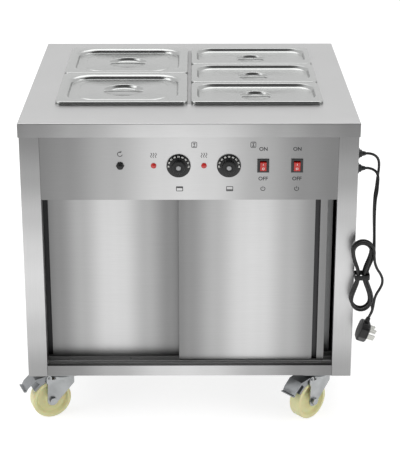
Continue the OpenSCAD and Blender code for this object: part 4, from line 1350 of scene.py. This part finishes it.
@dataclass
class Lid:
    """Pressed lid: rolled rim, flat border, sunken field and a hand dish with a bar."""

    node: str
    middle: Vector
    size: PanSize
    length: float = 325.0
    rim_gap: float = 1.0
    height: float = 6.5
    border: float = 24.0
    field_depth: float = 9.0
    field_r: float = 42.0
    step_drop: float = 1.5
    dish_depth: float = 9.0
    edge_r: float = 3.0
    rim_r: float = 16.0
    bar_half: float = 4.5
    bar_thick: float = 2.5
    sheet: float = 0.8
    corner_steps: int = 12

    def build(self) -> None:
        """Make the lid as one sheet with its bar, and give the sheet its thickness."""
        width, dish_d, self.field_r = self.size.value
        self.across = self.length - 2 * self.rim_gap
        self.deep = width - 2 * self.rim_gap
        frame = Matrix.Translation(self.middle)
        form = bmesh.new()
        levels = self.rim_levels() + self.field_levels() + self.dish_levels(dish_d / 2)
        rings = pressed(form, levels, frame, first_cap=False, last_cap=False)
        self.close_disc(form, rings[-1])
        lid = finish_mesh(self.node + "_pressing", form, PRESSED_PAN, self.node, sharp=60)
        sheet = lid.modifiers.new("sheet", "SOLIDIFY")
        sheet.thickness = self.sheet * MM
        sheet.offset = -1.0
        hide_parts(self.node)
        self.build_bar(frame, dish_d / 2)

    def outline(self, inset: float, radius: float) -> Outline:
        """Outline of the lid at an inset from its edge."""
        return rounded_outline(
            self.across - 2 * inset, self.deep - 2 * inset, radius, self.corner_steps
        )

    def rim_levels(self) -> list[tuple[Outline, float]]:
        """Levels of the rolled rim and the flat border, from the rim's foot."""
        levels = [(self.outline(0.0, self.rim_r), z) for z in (0.1, 3.4)]
        for i in range(1, 6):
            a = math.radians(90 * i / 5)
            inset = self.edge_r * (1 - math.cos(a))
            z = self.height - self.edge_r * (1 - math.sin(a))
            levels.append((self.outline(inset, self.rim_r - inset * 0.6), z))
        return levels

    def field_levels(self) -> list[tuple[Outline, float]]:
        """Levels from the border over the rounded wall to the field and its step."""
        half = self.size is PanSize.HALF
        start, lip, foot, slope = HALF_WALL if half else THIRD_WALL
        turn = math.radians(slope)
        radius = self.field_r + 3.0
        levels = [(self.outline(start - 0.6, radius), self.height)]
        for i in range(0, 6):
            a = turn * i / 5
            out = lip * math.sin(a)
            z = self.height - lip * (1 - math.cos(a))
            levels.append((self.outline(start + out, radius - out * 0.5), z))
        inset = start + lip * math.sin(turn)
        z = self.height - lip * (1 - math.cos(turn))
        floor = self.height - self.field_depth - self.step_drop * (0.9 if half else 0.6)
        foot_drop = foot * (1 - math.cos(turn))
        run = (z - floor - foot_drop) / math.tan(turn)
        inset += max(run, 0.2)
        r = radius - (inset - start) * 0.5
        for i in range(0, 6):
            a = turn * (1 - i / 5)
            out = inset + foot * (math.sin(turn) - math.sin(a))
            z = floor + foot * (1 - math.cos(a))
            levels.append((self.outline(out, r - i * 0.3), z))
        inset += foot * math.sin(turn)
        if half:
            for share in (0.0, 0.2, 0.5, 0.8, 1.0):
                edge = self.border + 24.0 + 4.0 * share
                z = floor + (self.plateau() - floor) * eased(share)
                levels.append((self.outline(edge, self.field_r - 6.0 - 4.0 * share), z))
        else:
            levels.append((self.outline(inset + 8.0, 26.0), self.plateau()))
        return levels

    def plateau(self) -> float:
        """Height of the field round the dish."""
        drop = 0.0 if self.size is PanSize.HALF else self.step_drop
        return self.height - self.field_depth - drop

    def dish_levels(self, radius: float) -> list[tuple[Outline, float]]:
        """Levels of the round hand dish, as circles with as many points.

        Args:
            radius: the dish's radius.

        Returns:
            The levels from the field to the dish's floor.
        """
        low = self.plateau()
        levels = []
        lip, foot, wall = 2.5, 4.0, 5.0
        for r, z in (
            (radius + 3.5, low), (radius + 1.2, low + 0.5), (radius, low + 0.55),
            (radius - 0.9, low + 0.1), (radius - lip * 0.7, low - lip * 0.5),
            (radius - lip, low - lip * 1.1),
            (radius - wall, low - self.dish_depth + foot * 0.75),
            (radius - wall - foot * 0.35, low - self.dish_depth + foot * 0.3),
            (radius - wall - foot * 0.8, low - self.dish_depth + foot * 0.08),
            (radius - wall - foot * 1.3, low - self.dish_depth),
            (radius * 0.5, low - self.dish_depth + 0.4),
            (radius * 0.2, low - self.dish_depth + 0.6),
        ):
            levels.append((rounded_outline(2 * r, 2 * r, r, self.corner_steps), z))
        return levels

    @staticmethod
    def close_disc(form: bmesh.types.BMesh, ring: list[bmesh.types.BMVert]) -> None:
        """Fill the last ring with triangles round a middle point."""
        middle = Vector((0, 0, 0))
        for vert in ring:
            middle += vert.co / len(ring)
        tip = form.verts.new(middle)
        for i, vert in enumerate(ring):
            if (vert.co - ring[(i + 1) % len(ring)].co).length > 1e-7:
                form.faces.new((vert, ring[(i + 1) % len(ring)], tip))

    def build_bar(self, frame: Matrix, radius: float) -> None:
        """Make the bar across the dish, which flares where it joins the lip."""
        form = bmesh.new()
        top = self.plateau()
        rings = []
        steps = 24
        for i in range(steps + 1):
            share = 2 * i / steps - 1
            x = share * (radius - 0.6)
            room = math.sqrt(max(radius**2 - x**2, 1.0))
            half = min(self.bar_half + 5.0 * abs(share) ** 6, max(room, 3.0))
            arch = 0.2 * (1 - share**2)
            thick = self.bar_thick * (1 - 0.45 * abs(share) ** 4)
            ring = []
            for step in range(12):
                a = 2 * math.pi * step / 12
                y = half * math.copysign(abs(math.cos(a)) ** 0.45, math.cos(a))
                z = thick / 2 * math.copysign(abs(math.sin(a)) ** 0.45, math.sin(a))
                ring.append(frame @ (Vector((x, y, top + arch - thick / 2 + z)) * MM))
            rings.append(ring)
        add_rings(form, rings)
        finish_mesh(self.node + "_bar", form, PRESSED_PAN, self.node, sharp=50)


@dataclass
class PanField:
    """Water tank, bars, five pans and their lids."""

    pan_length: float = 325.0
    column_gap: float = 7.0
    first_t: float = 147.0
    lid_foot_z: float = 792.0

    def build(self) -> None:
        """Dress the tank and pans, and make the lids."""
        nodes = FRAME["nodes"]
        dress(nodes["well_tank"], TANK_SHEET)
        dress(nodes["pan_divider"], TANK_SHEET)
        side = (self.column_gap + self.pan_length) / 2
        columns = (
            (-side, PanSize.HALF, ("front_left", "back_left")),
            (side, PanSize.THIRD, ("front_right", "middle_right", "back_right")),
        )
        whole = 2 * PanSize.HALF.value[0]
        for x, size, names in columns:
            for row, name in enumerate(names):
                t = self.first_t + (row + 0.5) * whole / len(names)
                edged("pan_" + name + "_body", "pan_" + name, PRESSED_PAN, 0.3)
                Lid("lid_" + name, at(x, t, self.lid_foot_z), size).build()


# ---- Body, cupboard and doors ----


@dataclass
class Body:
    """Outer sheets, cupboard and doors: packed forms with broken edges and their finish."""

    edge: float = 0.45
    grooves: dict[str, tuple[float, float, float]] = field(
        default_factory=lambda: {
            "left_door": (-354.5, -342.5, 49.0),
            "right_door": (303.5, 315.5, 25.0),
        }
    )

    def paint_groove_shade(
        self, piece: bpy.types.Object, low: float, high: float, face_t: float
    ) -> None:
        """Paint shade into a door's finger groove with a dark finish on its inner faces.

        Args:
            piece: the door.
            low: x of the groove's left wall.
            high: x of its right wall.
            face_t: depth of the door's face.
        """
        index = add_finish(piece, GROOVE_PAINTED_SHADE)
        near, far = at(low - 0.1, face_t + 0.5, 0), at(high + 0.1, face_t + 11.1, 0)
        for face in piece.data.polygons:
            middle = face.center
            if near.x < middle.x < far.x and near.y < middle.y < far.y:
                face.material_index = index

    def build(self) -> None:
        """Dress every sheet of the cabinet."""
        nodes = FRAME["nodes"]
        shown = (
            ("top_plate", TABLE_TOP),
            ("left_side_panel", POST_SHEET),
            ("right_side_panel", POST_SHEET),
            ("back_panel", SHEET_ACROSS),
            ("base_panel", PANEL_SHEET),
            ("control_panel", PANEL_SHEET),
            ("left_door", LEFT_DOOR_SHEET),
            ("right_door", RIGHT_DOOR_SHEET),
            ("lower_track", SHEET_ACROSS),
            ("shelf", SHEET_ACROSS),
            ("heater_guard", SHEET_ACROSS),
        )
        for node, finish in shown:
            piece = edged(node + "_sheet", node, finish, self.edge)
            if node == "top_plate":
                # Painted light: the sheet's upright apron faces get a lighter copy of its
                # stainless, with a painted highlight band.
                index = add_finish(piece, APRON_PAINTED_SHEEN)
                for face in piece.data.polygons:
                    if abs(face.normal.z) < 0.5:
                        face.material_index = index
            # Painted shade in the doors' finger grooves.
            if node in self.grooves:
                self.paint_groove_shade(piece, *self.grooves[node])
        for node in ("left_liner", "right_liner", "ceiling_panel", "upper_track"):
            dress(nodes[node], MILL_SHEET)
        dress(nodes["castor_channels"], MILL_SHEET)
        for node in ("well_heater", "cupboard_heater"):
            dress(nodes[node], ELEMENT_SHEATH)


@dataclass
class Castors:
    """Four castors: plates, forks, wheels and the front brake pedals."""

    corners: tuple[str, ...] = ("front_left", "front_right", "rear_left", "rear_right")

    def build(self) -> None:
        """Dress the castors' pieces."""
        edged("castor_top_plates", "castor_plates", ZINC, 0.5)
        for corner in self.corners:
            edged(corner + "_fork_pressing", corner + "_fork", ZINC, 0.5)
            edged(corner + "_wheel_moulding", corner + "_wheel", CREAM_NYLON, 0.6)
            if corner.startswith("front"):
                edged(corner + "_brake_pedal", corner + "_pedal", DARK_ZINC, 0.5)


def glyph(text: str, height: float, place: Matrix, form: bmesh.types.BMesh) -> None:
    """Print plain characters as a thin raised layer of ink.

    Args:
        text: the characters.
        height: how tall a capital is, in millimetres.
        place: frame at their middle, with z out of the surface.
        form: the mesh to add to.
    """
    curve = bpy.data.curves.new("characters", "FONT")
    curve.body = text
    curve.size = height / 0.7 * MM
    curve.extrude = 0.04 * MM
    curve.offset = 0.03 * height * MM
    curve.resolution_u = 3
    curve.align_x = "CENTER"
    curve.align_y = "CENTER"
    carrier = bpy.data.objects.new("characters", curve)
    mesh = bpy.data.meshes.new_from_object(carrier)
    mesh.transform(place)
    form.from_mesh(mesh)
    bpy.data.objects.remove(carrier)
    bpy.data.meshes.remove(mesh)
    bpy.data.curves.remove(curve)


@dataclass
class Pen:
    """Draws printed symbols as thin raised strokes on a flat or tilted surface."""

    form: bmesh.types.BMesh
    place: Matrix
    width: float = 0.8
    ink: float = 0.08

    def stroke(self, line: Outline, closed: bool = False) -> None:
        """Draw one stroke through a line's points, in millimetres."""
        points = [Vector(p) for p in line]
        count = len(points)
        left, right = [], []
        for i, point in enumerate(points):
            back = points[i - 1] if i or closed else point
            onward = points[(i + 1) % count] if i < count - 1 or closed else point
            way = (onward - back).normalized()
            side = Vector((-way.y, way.x)) * self.width / 2
            left.append(point + side)
            right.append(point - side)
        quads = count if closed else count - 1
        for i in range(quads):
            j = (i + 1) % count
            corners = (left[i], left[j], right[j], right[i])
            low, high = (
                [self.form.verts.new(self.place @ (Vector((*c, z)) * MM)) for c in corners]
                for z in (0.0, self.ink)
            )
            self.form.faces.new(high[::-1])
            for a in range(4):
                b = (a + 1) % 4
                self.form.faces.new((low[a], low[b], high[b], high[a]))

    def arc(self, radius: float, start: float, end: float) -> None:
        """Draw part of a circle round the middle between two angles in degrees."""
        steps = 18
        line = []
        for i in range(steps + 1):
            a = math.radians(start + (end - start) * i / steps)
            line.append((radius * math.cos(a), radius * math.sin(a)))
        self.stroke(line)

    def frame(self, width: float, height: float, corner: float) -> None:
        """Draw a rounded frame round the middle."""
        self.stroke(rounded_outline(width, height, corner, 4), closed=True)


@dataclass
class Controls:
    """Control panel's knobs, lamps, reset button, rocker switches and printed marks."""

    height: float = 684.0
    panel_t: float = 4.5
    sheet: float = 1.2
    knob_x: tuple[float, float] = (-25.0, 94.0)
    lamp_x: tuple[float, float] = (-84.0, 35.0)
    reset_x: float = -163.0
    switch_x: tuple[float, float] = (175.0, 255.0)
    switch_tip_deg: float = 8.0
    switch_pivot: float = 5.0
    icon_x: tuple[float, float] = (12.0, 151.0)
    word_h: float = 9.0
    on_lift: float = 41.0
    off_lift: float = -33.0
    sign_lift: float = -58.0
    wave_lift: float = 26.0
    reset_lift: float = 29.0
    icon_lift: float = 52.0

    def build(self) -> None:
        """Make every control and mark."""
        nodes = FRAME["nodes"]
        dress(nodes["thermostats"], ZINC)
        edged("switch_bezels", "switch_bodies", SWITCH_NYLON, 0.9)
        self.build_lamps()
        self.build_reset()
        for name, x in zip(("top_knob", "bottom_knob"), self.knob_x):
            self.build_knob(name, x)
        for name, x in zip(("left_rocker", "right_rocker"), self.switch_x):
            self.build_rocker(name, x)
        self.build_marks()

    def facing(self, x: float, z: float) -> Matrix:
        """Frame on the panel: x to the right, y up and z towards the front."""
        upright = Matrix.Rotation(math.radians(90), 4, "X")
        return Matrix.Translation(at(x, self.panel_t, z)) @ upright

    def build_knob(self, node: str, x: float) -> None:
        """Make a knob: skirt with dial numbers, fluted grip, pointer, cap and spindle.

        Args:
            node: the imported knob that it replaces, which is also its body.
            x: where its spindle is.
        """
        place = self.facing(x, self.height)
        form = bmesh.new()

        def fluted(radius: float, height: float, angle: float) -> float:
            """Radius of the grip with its flutes."""
            if radius < 12.5 or radius > 17.0 or height > 17.6:
                return radius
            share = 0.5 + 0.5 * math.cos(20 * angle)
            return radius - 1.1 * share**2

        profile = [
            (3.0, -18.0), (3.0, 0.8), (27.4, 0.8), (28.2, 1.2), (28.5, 1.8), (28.5, 2.8),
            (28.2, 3.4), (27.6, 3.8), (19.2, 5.9), (18.4, 6.0), (17.8, 5.9), (17.2, 6.1),
            (16.6, 7.0), (16.4, 8.0), (15.9, 13.0), (15.5, 16.6), (15.0, 17.4),
            (14.2, 17.9), (13.2, 18.0), (9.2, 17.8), (8.6, 17.2), (7.2, 17.0),
            (6.2, 17.0),
        ]
        turned(form, profile, place, 120, radius_at=fluted)
        knob = finish_mesh(node + "_moulding", form, BLACK_ABS, node, sharp=32)
        self.add_pointer(node, place)
        self.add_cap(node, place)
        form = bmesh.new()
        slope = math.atan2(3.8 - 5.9, 27.6 - 19.2)
        for i in range(9):
            angle = 182 - 23 * i
            turn = Matrix.Rotation(math.radians(angle - 90), 4, "Z")
            lie = Matrix.Rotation(slope, 4, "X")
            spot = turn @ Matrix.Translation(Vector((0, 23.6, 4.87)) * MM) @ lie
            glyph(str(30 + 6 * i), 3.7, place @ spot, form)
        finish_mesh(node + "_dial_marks", form, WHITE_INK, node)
        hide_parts(node)

    @staticmethod
    def add_pointer(node: str, place: Matrix) -> None:
        """Make the knob's pointer rib, from the cap down to the skirt's edge."""
        form = bmesh.new()
        rings = []
        for y, half, low, top in (
            (-7.4, 2.4, 16.0, 18.3), (-13.0, 2.5, 15.0, 18.4), (-16.4, 2.4, 6.0, 17.4),
            (-18.6, 2.1, 5.0, 11.0), (-21.0, 1.7, 4.6, 7.6), (-22.4, 1.2, 4.4, 6.2),
        ):
            ring = []
            for step in range(9):
                a = math.pi * step / 8
                lift = low + (top - low) * math.sin(a) ** 0.6
                ring.append(place @ (Vector((half * math.cos(a), y, lift)) * MM))
            rings.append(ring)
        add_rings(form, rings)
        finish_mesh(node + "_pointer", form, BLACK_ABS, node, sharp=50)

    @staticmethod
    def add_cap(node: str, place: Matrix) -> None:
        """Make the spun aluminium cap in the knob's middle, with its turning marks."""
        form = bmesh.new()
        profile = [(5.6, 16.6), (5.6, 18.9), (5.4, 19.4), (5.1, 19.6)]
        for i in range(6):
            r = 4.7 - 0.75 * i
            profile += [(r, 19.62 + 0.03 * i), (r - 0.35, 19.5 + 0.03 * i)]
        turned(form, [*profile, (0.3, 19.8)], place, 64)
        finish_mesh(node + "_cap", form, CHROME, node, sharp=60)

    def build_lamps(self) -> None:
        """Make the pilot lamps: rear body, rim and a faceted dome."""
        form = bmesh.new()

        def faceted(radius: float, height: float, angle: float) -> float:
            """Radius of the dome with its fine facets."""
            if 1.0 < radius < 5.7 and height > 1.6:
                return radius - 0.28 * abs(math.sin(8 * angle))
            return radius

        for x in self.lamp_x:
            turns = (0.25, 0.6, 0.95, 1.25)
            dome = [(5.75 * math.cos(a), 3.57 + 1.7 * math.sin(a)) for a in turns]
            profile = [
                (4.0, -23.0), (6.0, -22.4), (6.0, -self.sheet), (4.5, -self.sheet),
                (4.5, 0.0), (6.75, 0.0), (6.75, 0.9), (6.45, 1.4), (5.75, 1.5),
                (5.75, 3.4),
                *dome,
                (0.5, 5.26),
            ]
            turned(form, profile, self.facing(x, self.height), 64, radius_at=faceted)
        lamps = finish_mesh("pilot_lamp_lenses", form, RED_LENS, sharp=28)
        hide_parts("pilot_lamps")

    def build_reset(self) -> None:
        """Make the reset button in its collar: hexagon nut, knurled ring and domed cap."""
        place = self.facing(self.reset_x, self.height)
        form = bmesh.new()
        turned(form, [(9.2, 0.0), (9.9, 0.4), (9.9, 2.2), (9.2, 2.6)], place, 6)

        def knurled(radius: float, height: float, angle: float) -> float:
            """Radius of the ring with its knurl."""
            return radius - (0.35 * abs(math.sin(18 * angle)) if 3 < height < 5.2 else 0.0)

        ring = [
            (9.0, -31.0), (12.0, -30.2), (12.0, -self.sheet), (7.0, -self.sheet),
            (7.0, 2.0), (8.4, 2.5), (8.6, 3.2), (8.5, 5.0), (7.8, 5.8), (6.6, 6.0),
            (4.6, 5.7), (4.56, 3.0),
        ]
        turned(form, ring, place, 72, radius_at=knurled)
        collar = finish_mesh("reset_collar", form, BLACK_ABS, sharp=32)
        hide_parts("reset_body")
        form = bmesh.new()
        cap = [(4.5, -6.0), (4.5, 8.6), (4.2, 9.4), (3.5, 9.85), (2.4, 10.0), (1.2, 9.8)]
        turned(form, [*cap, (0.4, 9.72)], place, 48)
        button = finish_mesh("reset_cap", form, BLACK_ABS, "reset_button", sharp=40)
        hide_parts("reset_button")

    def build_rocker(self, node: str, x: float) -> None:
        """Make a rocker with its two printed marks.

        Args:
            node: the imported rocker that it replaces, which is also its body.
            x: where its middle is.
        """
        edged(node + "_moulding", node, RED_ROCKER, 0.8)
        form = bmesh.new()
        tip = self.switch_tip_deg
        spin = Matrix.Rotation(math.radians(tip), 4, "X")
        upright = Matrix.Rotation(math.radians(90), 4, "X")
        pivot = Matrix.Translation(at(x, self.panel_t + self.switch_pivot, self.height))
        for side in (1, -1):
            spot = Matrix.Translation(Vector((0, -10.26, side * 5.4)) * MM)
            lie = Matrix.Rotation(math.radians(side * tip), 4, "X")
            pen = Pen(form, pivot @ spin @ spot @ lie @ upright, 1.1, 0.06)
            if side > 0:
                pen.stroke([(0, -2.6), (0, 2.6)])
            else:
                pen.frame(4.6, 4.6, 2.3)
        finish_mesh(node + "_marks", form, WHITE_INK, node)

    def build_marks(self) -> None:
        """Print the panel's marks: plain words on the switches and generic symbols."""
        form = bmesh.new()
        for x in self.switch_x:
            for word, lift in (("ON", self.on_lift), ("OFF", self.off_lift)):
                glyph(word, self.word_h, self.facing(x, self.height + lift), form)
            pen = Pen(form, self.facing(x, self.height + self.sign_lift), 1.5)
            pen.arc(5.0, 125, 415)
            pen.stroke([(0, 0.4), (0, 6.4)])
        for x in self.lamp_x:
            for side in (-5.5, 0.0, 5.5):
                wave = [(side + 1.4 * math.sin(0.62 * y), y) for y in range(-6, 7)]
                place = self.facing(x, self.height + self.wave_lift)
                Pen(form, place, 1.5).stroke(wave)
        pen = Pen(form, self.facing(self.reset_x, self.height + self.reset_lift), 1.6)
        pen.arc(5.6, 60, 350)
        pen.stroke([(2.8, 8.2), (2.8, 4.4), (-1.2, 4.4)])
        for i, x in enumerate(self.icon_x):
            pen = Pen(form, self.facing(x, self.height + self.icon_lift), 1.4)
            pen.frame(12.0, 13.5, 2.6)
            level = 3.0 if i == 0 else -3.0
            pen.stroke([(-3.4, 4.0), (3.4, 4.0)])
            pen.stroke([(-3.4, -4.0), (3.4, -4.0)])
            pen.stroke([(0.0, -3.0), (0.0, 3.0)])
            pen.stroke([(-1.8, level / 3), (1.8, level / 3)])
        for i, x in enumerate(self.knob_x):
            pen = Pen(form, self.facing(x + 2, self.height + self.sign_lift), 1.5)
            pen.frame(15.0, 11.0, 1.2)
            bar = 3.0 if i == 0 else -3.0
            for lift in (-0.5, 0.5):
                pen.stroke([(-7.0, bar + lift), (7.0, bar + lift)])
        finish_mesh("panel_print", form, BLACK_INK)


@dataclass
class Screws:
    """Pan-head screws in the lower track and down the back panel's edges."""

    track_x: float = 147.5
    track_t: float = 27.2
    track_z: float = 166.7
    back_x: float = 390.0
    back_t: float = 747.5
    back_low: float = 170.0
    back_step: float = 136.0

    def build(self) -> None:
        """Make every screw with its head, socket and shank."""
        form = bmesh.new()
        head = [(1.5, -6.0), (1.5, 0.0), (3.0, 0.0), (2.95, 0.35), (2.5, 0.7), (1.3, 0.7)]
        for i in range(-2, 3):
            place = Matrix.Translation(at(i * self.track_x, self.track_t, self.track_z))
            turned(form, [*head, (1.1, 0.1), (0.3, 0.05)], place, 24)
        big = [(2.0, -7.0), (2.0, 0.0), (4.0, 0.0), (3.9, 1.2), (3.1, 2.0), (1.8, 2.2)]
        for side in (-1, 1):
            for i in range(5):
                z = self.back_low + i * self.back_step
                place = Matrix.Translation(at(side * self.back_x, self.back_t, z))
                place = place @ Matrix.Rotation(math.radians(-90), 4, "X")
                turned(form, [*big, (1.5, 1.0), (0.4, 0.9)], place, 32)
        screws = finish_mesh("screw_heads", form, ZINC, sharp=40)
        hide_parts("screws")


def main() -> None:
    """Build the cabinet's looks in order."""
    logging.basicConfig(level=logging.INFO, format="%(message)s")
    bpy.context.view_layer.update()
    for part in (Studio(), Leads(), PanField(), Body(), Controls(), Screws(), Castors()):
        part.build()
        LOG.info("%s built", type(part).__name__)


if __name__ == "__main__":
    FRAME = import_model()
    main()
